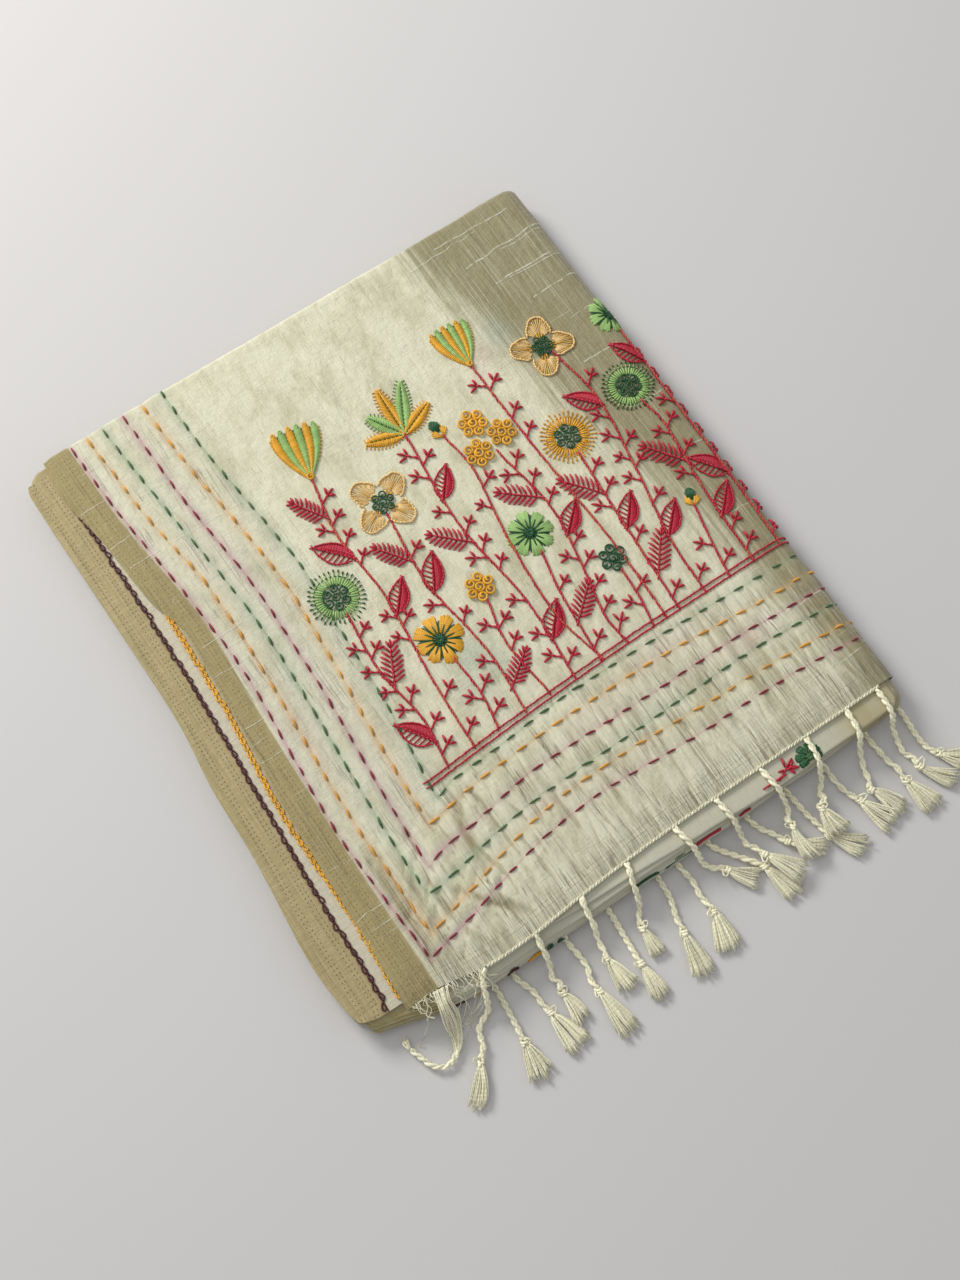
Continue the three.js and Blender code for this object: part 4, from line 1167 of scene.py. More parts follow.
def inner_layers():
    corner = 0.03
    t = np.linspace(-1 + corner, 1 - corner, 150)
    few = np.linspace(-1 + corner, 1 - corner, 70)
    turn = np.radians([22, 45, 68])
    arc = corner * np.stack([np.sin(turn), 1 - np.cos(turn)])

    def side(values, dx, dy):
        line = [(dx * k + dy, dy * k - dx) for k in values]
        bend = [(dx * (1 - corner + a) + dy * (1 - b), dy * (1 - corner + a) - dx * (1 - b))
                for a, b in arc.T]
        return line + bend

    loop = np.array(side(t, 1, 0) + side(few, 0, 1) + side(few, -1, 0) + side(few, 0, -1))
    u, v = (loop[:, 0] + 1) / 2, (loop[:, 1] + 1) / 2
    r = np.random.default_rng(SEED + 2)

    def ring(z, inset, push, crown, shrink=1.0, lower=None):
        a, b = (loop[:, 0] * shrink + 1) / 2, (loop[:, 1] * shrink + 1) / 2
        rough = -167 + 313 * a
        front = curve(STACK_FRONT, z) + curve(DRAW_BACK, rough)
        if crown:
            front = curve(CROWN_FRONT, rough)
        front = front + inset + push[0]
        back = curve(STACK_BACK, z) - inset + push[1]
        y = front + (back - front) * b
        left = curve(SECOND_LEFT, y) + 2.9 + inset + push[2]
        right = stack_right(z, y) - inset
        x = left + (right - left) * a
        if lower is not None:
            return together(x, y, stack_top(x, y) - lower)
        tall = (stack_top(x, y) - STACK_BOTTOM) / (CROWN_Z - STACK_BOTTOM)
        return together(x, y, STACK_BOTTOM + (z - STACK_BOTTOM) * np.minimum(1, tall))

    rings = []
    last = len(FOLD_LEVELS) - 2
    for j, (low, high) in enumerate(zip(FOLD_LEVELS, FOLD_LEVELS[1:])):
        crown = j == last
        phase = r.uniform(0, 6, 6)
        push = [
            r.uniform(-0.9, 0.9) * (not crown)
            + r.uniform(0.25, 0.6) * np.sin(u * r.uniform(8, 16) + phase[0])
            + 0.22 * np.sin(u * r.uniform(28, 45) + phase[1]),
            r.uniform(-1.1, 0.4) + 0.5 * np.sin(u * r.uniform(6, 14) + phase[2]),
            r.uniform(-0.7, 1.6) + 0.5 * np.sin(v * r.uniform(6, 15) + phase[3])
            + 0.2 * np.sin(v * r.uniform(25, 40) + phase[4]),
        ]
        sag = 0.16 * np.sin(u * r.uniform(9, 17) + phase[5]) * (v < 0.02)
        for k, inset in ((0.0, 2.3), (0.12, 0.8), (0.34, 0.1), (0.7, 0.1), (0.9, 0.8)):
            if j == last and k > 0.5:
                continue
            made = ring(low + (high - low) * k, inset, push, crown)
            made[:, 2] += sag * (0 < j < last)
            rings.append(made)
    for shrink, inset, lower in ((1, 0.3, 0.6), (1, 0.3, 0.3), (1, 0.55, 0.06), (0.995, 0.6, 0),
                                 (0.98, 0.6, 0), (0.965, 0.6, 0), (0.945, 0.6, 0), (0.92, 0.6, 0),
                                 (0.85, 0.6, 0), (0.6, 0.6, 0), (0.3, 0.6, 0)):
        made = ring(14.0, inset, push, True, shrink, lower)
        x, y = made[:, 0], made[:, 1]
        ripple = 0.2 * np.sin(x / 7 + np.sin(x / 23) * 2) * np.sin(y / 5) + 0.12 * np.sin(x / 17)
        made[:, 2] += np.minimum(0, ripple) * (shrink < 1)
        rings.append(made)
    rings = np.array(rings)
    count = rings.shape[1]
    index = np.arange(rings.shape[0] * count).reshape(rings.shape[0], count)
    a, b = index[:-1], index[1:]
    quads = np.stack([a, np.roll(a, -1, 1), np.roll(b, -1, 1), b], -1).reshape(-1, 4)
    points = rings.reshape(-1, 3)
    middle = [[0, 0, STACK_BOTTOM], [*rings[-1, :, :2].mean(0), 0]]
    middle[1][2] = float(stack_top(*middle[1][:2]))
    first, top = len(points), len(points) + 1
    ring_index = np.arange(count)
    tris = np.concatenate([
        np.stack([np.full(count, first), np.roll(ring_index, -1), ring_index], -1),
        np.stack([np.full(count, top), index[-1], np.roll(index[-1], -1)], -1)])
    points = np.concatenate([points, middle])
    return build_mesh("inner_layers", points, quads, tris, {"flat": points})


face = face_sheet()
second = second_sheet()
under = under_sheet()
layers = inner_layers()

# Fringe

# Roots, bends, knots and tips as the solids have them. An upper tassel is its root, where it
# passes over the layers, and the bend, knot and tip with their heights
TOP_TASSELS = [
    (133, 131, 129, -196, 2.2, 131, -206, 2.6, 138, -221, 2.4),
    (114, 110, 107, -193, 2.2, 104, -202, 2.4, 112, -217, 2.2),
    (89, 85.5, 81, -189.5, 3.6, 77, -195.5, 5.4, 77, -211, 5.2),
    (61, 64, 62, -189.5, 3.6, 60, -195, 5.4, 55, -211, 4.9),
    (34, 36.5, 36, -190, 4.2, 40, -199, 5.8, 50, -213, 4.8),
    (9, 13, 16, -190, 2.4, 21, -194, 2.4, 30, -207, 2.2),
    (-20, -25, -28, -189.5, 2.4, -29.5, -194, 2.4, -30, -208, 2.2),
    (-47, -50, -51, -190, 2.4, -52, -197, 2.4, -51, -211, 2.2),
    (-75, -77, -79, -190, 2.2, -79, -198, 2.4, -76, -212, 2.2),
    (-104, -113, -121, -190, 2.2, -129, -203, 2.4, -139, -218, 2.0),
]
# A lower tassel is its root, bend, knot and tip
UNDER_TASSELS = [
    (141, 140, -193, 143, -206, 152, -217),
    (119, 120, -195, 121, -208, 124, -224),
    (92, 92, -190, 96, -203, 101, -220),
    (69, 70, -193, 73, -208, 81, -223),
    (45, 47, -187, 54, -200, 66, -213),
    (22, 28, -190, 37, -203, 42, -223),
    (3, 4, -190, 4, -207, 1, -225),
    (-9, -10, -191, -14, -207, -17, -226),
    (-38, -39, -193, -40, -208, -40, -224),
    (-63, -62, -194, -64, -207, -63, -229),
    (-93, -90, -190, -89, -203, -86, -221),
    (-104, -105, -191, -107, -207, -109, -224),
]
UNDER_BEND_Z, UNDER_KNOT_Z, UNDER_TIP_Z = 1.9, 2.1, 2.0
LOOSE_BUNCH = [
    (-128, -167, 15.0), (-129, -173.5, 14.0), (-130, -180, 9.4), (-131, -185.5, 3.4),
    (-135, -193, 2.2), (-142, -196, 2.2), (-148, -193, 2.2), (-151, -186, 2.2),
    (-153, -180, 2.2),
]

UP = np.array([0.0, 0.0, 1.0])


def strip_point(x):
    end = float(curve(FACE_END, x))
    return np.array([x, end - 1.35, float(face_base(x, end)) - 0.9])


def route_frames(route):
    along = unit(np.gradient(route, axis=0))
    side = unit(np.cross(along, UP))
    return along, side, np.cross(side, along)


def two_ply(yarn, points, radius=0.78, pitch=9.5, step=0.9, turn=0.0, flat=0.8, tones=None):
    """Two plies twisted round each other along a smooth path."""
    route = smooth_path(points, step)
    along, side, up = route_frames(route)
    reach = np.arange(len(route)) * step
    paths, ups = [], []
    for ply in (0, np.pi):
        a = 2 * np.pi * reach / pitch + ply + turn
        offset = radius * 0.92 * (np.cos(a)[:, None] * side + flat * np.sin(a)[:, None] * up)
        paths.append(route + offset)
        ups.append(up)
    swell = 1 + 0.06 * np.sin(reach / 2.3)
    radii = np.repeat((radius * swell)[None], 2, axis=0)
    yarn.add(np.array(paths), np.array(ups), radii, 8, 0.9, tones)


def brush(yarn, knot, tip, spread, locks=27, threads=5):
    """Flat silky locks that fan out from the knot and are cut off bluntly."""
    heading = tip - knot
    reach = np.linalg.norm(heading)
    heading /= reach
    side = np.cross(heading, UP)
    side /= np.linalg.norm(side)
    k = np.linspace(0, 1, 7)
    place = np.sort(rng.uniform(-1, 1, locks)) * 0.6 + np.linspace(-1, 1, locks) * 0.4
    place = np.repeat(place, threads)
    count = len(place)
    high = np.repeat(rng.uniform(-1, 1, locks), threads)
    waves = np.repeat(rng.uniform(0, 6, locks), threads)[:, None]
    own = rng.uniform(-1, 1, count)
    long = reach * (1.04 - 0.08 * place**2) * (1 + np.repeat(rng.normal(0, 0.05, locks), threads))
    sway = rng.normal(0, 1.6)
    long = long * (1 + rng.normal(0, 0.012, count))
    widen = 0.16 + 0.84 * k**0.8
    bunch = 0.34 * (0.7 + 0.5 * k)
    lateral = place[:, None] * spread * widen + own[:, None] * bunch
    lateral = lateral + 0.6 * np.sin(3.2 * k + waves) * k + sway * k * k
    rise = high[:, None] * (0.8 - 0.4 * k) + rng.uniform(-0.3, 0.3, (count, 1))
    rise = rise + 0.8 * np.sin(np.pi * k)[None] * np.repeat(rng.random(locks), threads)[:, None]
    paths = (knot[None, None] + heading * (k[None, :, None] * long[:, None, None])
             + side * lateral[..., None] + UP * rise[..., None])
    paths[..., 2] = np.maximum(paths[..., 2], 0.3 + 0.25 * rng.random((count, 1)))
    ups = np.broadcast_to(UP + 0.3 * side, paths.shape)
    radii = np.broadcast_to(0.21 - 0.03 * k, paths.shape[:2])
    tones = np.repeat(rng.uniform(0.8, 1.14, locks), threads) * rng.uniform(0.92, 1.06, count)
    yarn.add(paths, ups, radii, 4, 0.9, tones)


def knot_coils(yarn, knot, heading, size=1.0):
    """An overhand knot: two turns of cord round the cord, and a small loop."""
    side = np.cross(heading, UP)
    side /= np.linalg.norm(side)
    up = np.cross(side, heading)
    t = np.linspace(0, 1, 36)
    turn = 2 * np.pi * 1.9 * t + rng.uniform(0, 6)
    radius = 1.15 * size
    lean = rng.uniform(-0.5, 0.5)
    path = (knot + heading * ((t - 0.5) * 2.4 * size + (0.6 + lean) * np.sin(turn))[:, None]
            + side * (radius * np.cos(turn))[:, None] + up * (radius * 0.8 * np.sin(turn))[:, None])
    ups = np.broadcast_to(heading, path.shape)
    yarn.add(path[None], ups[None], np.full((1, 36), 0.75 * size), 8)
    t = np.linspace(0, 1, 22)[:, None]
    out = side * rng.choice([-1, 1]) + up * 0.5
    wide = rng.uniform(1.6, 3.4)
    loop = knot + out * (1.0 + wide * np.sin(np.pi * t)) + heading * (
        1.5 * np.cos(np.pi * t) + rng.uniform(-1, 2) * np.sin(np.pi * t))
    yarn.add(loop[None], np.broadcast_to(heading, loop.shape)[None], np.full((1, 22), 0.42), 6)


def wander(points, amount):
    """Moves the inner points of a route a little, more along the floor than up."""
    p = np.array([np.asarray(q, float) for q in points])
    p[1:-1] += rng.normal(0, 1, p[1:-1].shape) * np.array([amount, amount * 0.7, amount * 0.25])
    p[:, 2] = np.maximum(p[:, 2], 1.4)
    return p


def tassel(yarn, route, knot, tip, free):
    """A cord of two plies, its knot and its brush; only its last points wander."""
    heading = (tip - knot) / np.linalg.norm(tip - knot)
    loose = wander([*route[free:], (np.asarray(route[-1]) + knot) / 2, knot - heading], 0.9)
    two_ply(yarn, [*route[:free], *loose], radius=0.88, pitch=rng.uniform(8, 13), step=0.85,
            turn=rng.uniform(0, 6), flat=0.62)
    knot_coils(yarn, knot, heading, rng.uniform(0.95, 1.15))
    end = tip + heading * rng.uniform(-0.5, 3.0)
    brush(yarn, knot + heading * 0.9, end, spread=rng.uniform(3.8, 7.4))


def upper_fringe():
    yarn = Yarn("fringe_upper")
    for root, over, bx, by, bz, kx, ky, kz, tx, ty, tz in TOP_TASSELS:
        band_y = min(float(curve(CROWN_FRONT, root)), float(curve(FACE_END, root)) - 5)
        band_z = float(stack_top(root, band_y))
        route = [
            strip_point(root), (root + (over - root) * 0.3, band_y + 2.8, band_z + 1.9),
            (root + (over - root) * 0.6, band_y - 2.4, band_z + 0.2),
            (root + (over - root) * 0.8, min(band_y - 4.2, -182), 9.4), (over, -185.5, 4.0),
            (bx, by, bz),
        ]
        tassel(yarn, route, np.array([kx, ky, kz]), np.array([tx, ty, tz]), 5)
    stations = [strip_point(x) + [0, 0.85, 0.05] for x in np.linspace(-103, 135, 60)]
    two_ply(yarn, stations, radius=0.5, pitch=3.9, step=0.45, tones=np.array([0.66, 0.8]))
    return yarn.build()


def lower_fringe():
    yarn = Yarn("fringe_lower")
    for root, bx, by, kx, ky, tx, ty in UNDER_TASSELS:
        route = [(root, -168.5, 1.5), (root, -174.5, 1.7), (root, -181, 1.8), (bx, by, UNDER_BEND_Z)]
        tassel(yarn, route, np.array([kx, ky, UNDER_KNOT_Z]), np.array([tx, ty, UNDER_TIP_Z]), 3)
    stations = [(x, -168.6, 0.95) for x in np.linspace(-112, 141, 40)]
    two_ply(yarn, stations, radius=0.5, pitch=3.4, step=0.5)
    return yarn.build()


def loose_threads():
    """Frayed ends at the border, and the bunch that was never twisted."""
    yarn = Yarn("fringe_loose")
    r = np.random.default_rng(SEED + 3)

    def hair(route, radius):
        ups = route_frames(route)[2]
        yarn.add(route[None], ups[None], np.full((1, len(route)), radius), 4)

    loop = np.array(LOOSE_BUNCH, float)
    hanging = loop[:6]
    for k in range(30):
        share = r.uniform(-0.5, 0.5)
        along = np.arange(len(hanging))[:, None] / 5
        open_out = 9.0 * share * np.sin(np.pi * np.clip(along + 0.08, 0, 1)) ** 0.7
        path = hanging + np.concatenate([open_out, open_out * 0.35, 0 * along], 1)
        path = path + r.normal(0, 0.5, path.shape) * [1, 1, 0.6] * np.sin(np.pi * along)
        path[0] = strip_point(-127 + share * 8) + [0, 0.6, 0.2]
        path[-1, 2] = r.uniform(1.6, 3.0)
        route = smooth_path(path, 1.0)
        route[:, 2] = np.maximum(route[:, 2], 0.5)
        hair(route, r.uniform(0.16, 0.3))
    two_ply(yarn, loop[4:], radius=0.8, pitch=8.0, step=0.8, turn=1.0, flat=0.6)
    end, heading = loop[-1], (loop[-1] - loop[-2]) / np.linalg.norm(loop[-1] - loop[-2])
    brush(yarn, end, end + heading * 5, spread=2.0, locks=12, threads=3)
    for _ in range(46):
        x = r.uniform(-145, -104)
        end = float(curve(FACE_END, x))
        start = np.array([x, end + 0.4, float(lay(x, end + 0.4)[2]) - 0.3])
        length = r.uniform(3, 12)
        turn = r.normal(0, 0.5)
        ahead = np.array([math.sin(turn), -math.cos(turn), 0])
        points = [start, start + ahead * length * 0.4 + [0, 0, r.uniform(-0.3, 0.9)],
                  start + ahead * length * 0.75 + [r.normal(0, 1.2), 0, r.uniform(-2, 0.8)],
                  start + ahead * length + [r.normal(0, 2), 0, r.uniform(-4, 0)]]
        hair(smooth_path(points, 0.9), r.uniform(0.12, 0.2))
    for _ in range(9):
        x = r.uniform(-140, -112)
        start = np.array([x, -170 + r.uniform(-3, 3), 12.0])
        t = np.linspace(0, 1, 30)
        radius, turns = r.uniform(3, 7), r.uniform(0.6, 1.4)
        hair(np.stack([
            start[0] - 8 * t + radius * np.sin(2 * np.pi * turns * t),
            start[1] - 16 * t - radius * 0.5 * (1 - np.cos(2 * np.pi * turns * t)),
            np.maximum(0.6, 12.5 - 26 * t**1.2 + 3 * np.sin(5 * t))], -1), 0.16)
    return yarn.build()


fringe_upper = upper_fringe()
fringe_lower = lower_fringe()
fringe_loose = loose_threads()
stitches = {name: yarn.build() for name, yarn in yarns.items()}

# Materials

def linear(r, g, b):
    def one(v):
        v /= 255
        return v / 12.92 if v <= 0.04045 else ((v + 0.055) / 1.055) ** 2.4

    return (one(r), one(g), one(b), 1.0)


class Nodes:
    """Short names for the nodes of one material."""

    def __init__(self, name, roughness, specular=0.5, sheen=0.0, sheen_roughness=0.5):
        self.material = bpy.data.materials.new(name)
        self.material.use_nodes = True
        self.tree = self.material.node_tree
        self.shader = self.tree.nodes["Principled BSDF"]
        self.shader.inputs["Roughness"].default_value = roughness
        self.shader.inputs["Specular IOR Level"].default_value = specular
        self.shader.inputs["Sheen Weight"].default_value = sheen
        self.shader.inputs["Sheen Roughness"].default_value = sheen_roughness

    def put(self, socket, value):
        if isinstance(value, bpy.types.NodeSocket):
            self.tree.links.new(value, socket)
        else:
            socket.default_value = value

    def math(self, operation, a, b=0.0, c=0.0, clamp=False):
        node = self.tree.nodes.new("ShaderNodeMath")
        node.operation, node.use_clamp = operation, clamp
        for socket, value in zip(node.inputs, (a, b, c)):
            self.put(socket, value)
        return node.outputs[0]

    def times(self, a, b):
        return self.math("MULTIPLY", a, b)

    def times_plus(self, a, b, c, clamp=False):
        return self.math("MULTIPLY_ADD", a, b, c, clamp)

    def plus(self, a, b):
        return self.math("ADD", a, b)

    def minus(self, a, b):
        return self.math("SUBTRACT", a, b)

    def larger(self, a, b):
        return self.math("MAXIMUM", a, b)

    def apart(self, a, b):
        return self.math("ABSOLUTE", self.minus(a, b))

    def step(self, value, low, high):
        """0 below low and 1 above high, smooth between."""
        node = self.tree.nodes.new("ShaderNodeMapRange")
        node.interpolation_type = "SMOOTHSTEP"
        self.put(node.inputs["Value"], value)
        node.inputs["From Min"].default_value = low
        node.inputs["From Max"].default_value = high
        return node.outputs["Result"]

    def fade(self, value, low, high):
        """1 below low and 0 above high, smooth between."""
        return self.minus(1.0, self.step(value, low, high))

    def near(self, value, at, core, reach):
        """1 within core of one value and 0 past reach, smooth between."""
        return self.fade(self.apart(value, at), core, reach)

    def parts(self, vector):
        node = self.tree.nodes.new("ShaderNodeSeparateXYZ")
        self.tree.links.new(vector, node.inputs[0])
        return node.outputs

    def value(self, name, part=None):
        node = self.tree.nodes.new("ShaderNodeAttribute")
        node.attribute_name = name
        vector = node.outputs["Vector"]
        return vector if part is None else self.parts(vector)[part]

    def noise(self, vector, scale, detail=2.0, rough=0.5):
        mapping = self.tree.nodes.new("ShaderNodeMapping")
        self.put(mapping.inputs["Vector"], vector)
        mapping.inputs["Scale"].default_value = scale
        node = self.tree.nodes.new("ShaderNodeTexNoise")
        self.tree.links.new(mapping.outputs[0], node.inputs["Vector"])
        node.inputs["Scale"].default_value = 1.0
        node.inputs["Detail"].default_value = detail
        node.inputs["Roughness"].default_value = rough
        return node.outputs["Fac"]

    def mix(self, factor, a, b, kind="MIX"):
        node = self.tree.nodes.new("ShaderNodeMix")
        node.data_type, node.blend_type = "RGBA", kind
        self.put(node.inputs["Factor"], factor)
        self.put(node.inputs[6], a)
        self.put(node.inputs[7], b)
        return node.outputs[2]

    def finish(self, colour, tone, height, strength, distance):
        """Sets the colour, times a grey tone, and the bump, and gives the material."""
        grey = self.tree.nodes.new("ShaderNodeCombineColor")
        for socket in grey.inputs:
            self.put(socket, tone)
        colour = self.mix(1.0, colour, grey.outputs[0], "MULTIPLY")
        self.put(self.shader.inputs["Base Color"], colour)
        bump = self.tree.nodes.new("ShaderNodeBump")
        bump.inputs["Strength"].default_value = strength
        bump.inputs["Distance"].default_value = distance
        self.put(bump.inputs["Height"], height)
        self.put(self.shader.inputs["Normal"], bump.outputs[0])
        return self.material


CREAM = linear(227, 225, 197)
CREAM_SHADE = linear(203, 199, 168)
SIDE_SHADE = linear(200, 197, 176)
RIDGE_HIGHLIGHT = linear(240, 236, 212)
PALE = linear(236, 234, 216)
OLIVE = linear(170, 156, 109)
OLIVE_DARK = linear(156, 142, 98)
BAND_OLIVE_AND_SHADE = linear(134, 123, 84)
BROWN = linear(142, 126, 82)
FOLD_SHADE_BROWN = linear(150, 134, 96)
CREASE_SHADE = linear(134, 114, 70)
PLEAT_SHADE = linear(146, 130, 88)
HEM_TICK_SHADE = linear(150, 136, 98)
HOLE = linear(96, 82, 48)
SHOWS_PINK = linear(214, 168, 172)
SHOWS_GREEN = linear(146, 170, 152)
HAZE_TINTS = (linear(198, 162, 172), linear(222, 190, 150), linear(168, 190, 160))
THREAD_TINTS = (linear(190, 104, 118), linear(214, 168, 92), linear(136, 160, 112))
BACK_OLIVE = linear(184, 168, 124)
BACK_CREAM_SHADED = linear(206, 198, 174)
BACK_SLUB = linear(214, 206, 172)
BACK_HAIR = linear(128, 112, 72)
BACK_HOLE = linear(90, 76, 44)
STACK = linear(200, 198, 176)
STACK_THIN = linear(214, 212, 200)
FRINGE = linear(254, 249, 216)
FLOOR = linear(212, 210, 209)
THREADS = {
    "crimson": linear(190, 28, 54),
    "rust": linear(198, 78, 56),
    "wine": linear(134, 22, 46),
    "maroon": linear(74, 12, 26),
    "orange": linear(232, 172, 42),
    "pale": linear(244, 208, 140),
    "leaf": linear(158, 196, 116),
    "pine": linear(16, 82, 42),
    "moss": linear(66, 104, 58),
    "amber": linear(222, 160, 62),
}
HEM_LINES = (5.6, 8.2)


def weave(n, flat, pale_slubs=0.5):
    """Warp hairlines, weft slubs and a fine uneven weave; factors and a height for the bump."""
    hair = n.step(n.noise(flat, (1.15, 0.035, 1), 3, 0.6), 0.6, 0.7)
    warp = n.noise(flat, (1.7, 0.12, 1), 3, 0.65)
    weft = n.noise(flat, (0.13, 1.7, 1), 3, 0.65)
    slub = n.step(n.noise(flat, (0.02, 0.8, 1), 2, 0.45), 0.7, 0.77)
    crumple = n.noise(flat, (0.3, 0.16, 1), 3, 0.6)
    height = n.plus(n.times(warp, 0.5), n.times(weft, 0.5))
    height = n.plus(height, n.times(slub, 0.5 * pale_slubs))
    return hair, slub, warp, weft, n.times_plus(crumple, 1.6, height)


def pinholes(n, away, along_row, centres, pitch, radius, gap=1.9):
    """Small holes in double rows, at set distances from a line."""
    u = n.times(n.minus(n.math("FRACT", n.math("DIVIDE", along_row, pitch)), 0.5), pitch)
    found = 0.0
    for centre in centres:
        d = n.minus(n.apart(away, centre), gap / 2)
        off = n.math("SQRT", n.plus(n.times(u, u), n.times(d, d)))
        found = n.larger(found, n.fade(off, radius * 0.6, radius * 1.3))
    return found


# Thick pale threads of the weft: where each lies, how it leans, its ends and half width
SLUBS = [
    (158, -0.02, 88, 134, 0.34), (155, 0.03, 70, 112, 0.26), (141, 0.05, 96, 148, 0.4),
    (139, 0.02, 118, 146, 0.26), (124, -0.02, 104, 140, 0.4), (122, -0.05, 112, 150, 0.26),
    (107, 0.03, 116, 146, 0.36), (86, 0.05, 124, 158, 0.3), (61, -0.02, 116, 138, 0.34),
    (26, 0.03, 128, 151, 0.3), (-8, 0.02, 134, 161, 0.3), (-49, -0.03, 122, 146, 0.3),
    (-108, 0.02, 112, 156, 0.34), (-143, -0.02, 84, 140, 0.3), (108, 0.0, -148, -104, 0.22),
    (21, 0.01, -150, -112, 0.24), (-9, 0.0, -142, -118, 0.2), (-118, 0.01, -142, -110, 0.24),
    (150, 0.01, -132, -72, 0.18), (93, -0.01, -138, -70, 0.2), (38, 0.01, -132, -64, 0.18),
    (-28, 0.0, -140, -78, 0.2), (-64, 0.01, -128, -76, 0.18), (-91, -0.01, -138, -84, 0.18),
    (66, 0.0, -130, -86, 0.18), (138, 0.01, -130, -60, 0.18), (-150, 0.01, -60, 10, 0.2),
]


def weft_slubs(n, flat):
    """How far a place lies on one of the thick weft threads, from 0 to 1."""
    s, y = n.parts(flat)[:2]
    wobble = n.times_plus(n.noise(flat, (0.09, 0.03, 1), 3), 4.0, y)
    broken = n.step(n.noise(flat, (0.3, 0.05, 1), 2), 0.3, 0.6)
    found = 0.0
    for at, lean, start, end, half in SLUBS:
        middle = (start + end) / 2
        line = n.near(wobble, n.times_plus(s, lean, at + 2 - lean * middle), half * 0.3, half * 2.0)
        within = n.math("LESS_THAN", n.apart(s, middle), (end - start) / 2)
        found = n.larger(found, n.times(line, within))
    return n.times(found, broken)


def band_over(n, flat, colour):
    """The woven olive band, which starts unevenly, and its pale hairlines; its dark olive is partly its
    own colour and partly painted shade where the cloth turns round the right fold.
    """
    uneven = n.minus(n.noise(flat, (0.4, 0.012, 1), 3, 0.7), 0.5)
    band = n.times(n.step(n.times_plus(uneven, 40.0, n.value("zones", 1)), -10, 14), 0.94)
    fine = n.step(n.noise(flat, (1.3, 0.03, 1), 4, 0.75), 0.38, 0.62)
    band = n.times(band, n.times_plus(fine, 0.22, 0.78))
    # The band's own olive, darkened with painted shade of the right fold.
    colour = n.mix(band, colour, BAND_OLIVE_AND_SHADE)
    pale_hair = n.step(n.noise(flat, (1.5, 0.012, 1), 2, 0.6), 0.56, 0.68)
    return n.mix(n.times(n.times(pale_hair, band), 0.42), colour, PALE), band


def creases_over(n, flat, colour, height, ends, beside):
    """Crease lines along the warp painted dark as shade, painted shade in the troughs that turns brown
    near the end beside patchy brown, and painted highlights on silky ridges.
    """
    where = n.larger(n.times(beside, 0.5), ends)
    shown = n.step(n.noise(flat, (0.13, 0.032, 1), 2, 0.5), 0.48, 0.64)
    # Painted shade: thin dark lines where the cloth creases along the warp, also pressed into the bump
    # below.
    line = n.near(n.noise(flat, (0.34, 0.011, 1), 2, 0.5), 0.5, 0.003, 0.017)
    line = n.times(n.times(line, shown), n.times_plus(where, 0.85, 0.15))
    # Painted shade in the relief's troughs everywhere, stronger near the end, where patchy brown that
    # grows towards the right is mixed in.
    trough = n.step(n.times(n.value("rows", 1), -1.0), 0.08, 0.4)
    brown_patches = n.step(n.noise(flat, (0.5, 0.022, 1), 4, 0.7), 0.46, 0.68)
    rightward = n.step(n.value("flat", 0), -70, 110)
    brown_patches = n.times(brown_patches, n.times_plus(rightward, 0.62, 0.2))
    brown = n.times(n.larger(n.times(trough, 0.8), brown_patches), ends)
    colour = n.mix(n.larger(n.times(brown, 0.54), n.times(trough, 0.25)), colour, BROWN)
    colour = n.mix(n.times(line, 0.6), colour, CREASE_SHADE)
    # Painted highlights along thin ridges among the creases.
    ridge_highlight = n.near(n.noise(flat, (0.3, 0.011, 2), 2, 0.5), 0.5, 0.006, 0.04)
    ridge_highlight = n.times(n.times(ridge_highlight, where), shown)
    return n.mix(n.times(ridge_highlight, 0.45), colour, RIDGE_HIGHLIGHT), n.times_plus(line, -1.3, height)


def show_through_and_fold_shade(n, flat, colour):
    """Tints from the layer beneath, and painted brown shade where the thin cloth is folded on itself."""
    for part, amount, tint in ((0, 0.62, SHOWS_PINK), (1, 0.75, SHOWS_GREEN)):
        colour = n.mix(n.times(n.value("shown_tints_and_shade", part), amount), colour, tint)
    # Painted brown shade in the folds, broken up along the warp.
    grain = n.step(n.noise(flat, (0.7, 0.02, 1), 3, 0.6), 0.35, 0.65)
    return n.mix(n.times(n.value("shown_tints_and_shade", 2), n.times_plus(grain, 0.5, 0.5)), colour, FOLD_SHADE_BROWN)


def pleats_over(n, flat, colour, height):
    """Close pleats, painted dark as shade in their folds, and two hem lines by the corded edge, of dark
    ticks that stand for fine stitches and their shade.
    """
    from_end = n.value("zones", 2)
    pleat = n.near(n.noise(flat, (0.6, 0.02, 3), 2, 0.5), 0.5, 0.006, 0.035)
    pleat = n.times(pleat, n.fade(from_end, 4, 17))
    # Painted shade in the pleats.
    colour = n.mix(n.times(pleat, 0.42), colour, PLEAT_SHADE)
    # Dark ticks along the hem lines: the fine stitches there together with their painted shade.
    tick = n.step(n.noise(flat, (1.1, 0.3, 7), 1, 0.4), 0.4, 0.5)
    for at in HEM_LINES:
        colour = n.mix(n.times(n.times(n.near(from_end, at, 0.1, 0.45), tick), 0.4), colour, HEM_TICK_SHADE)
    return colour, n.times_plus(pleat, -1.0, height)


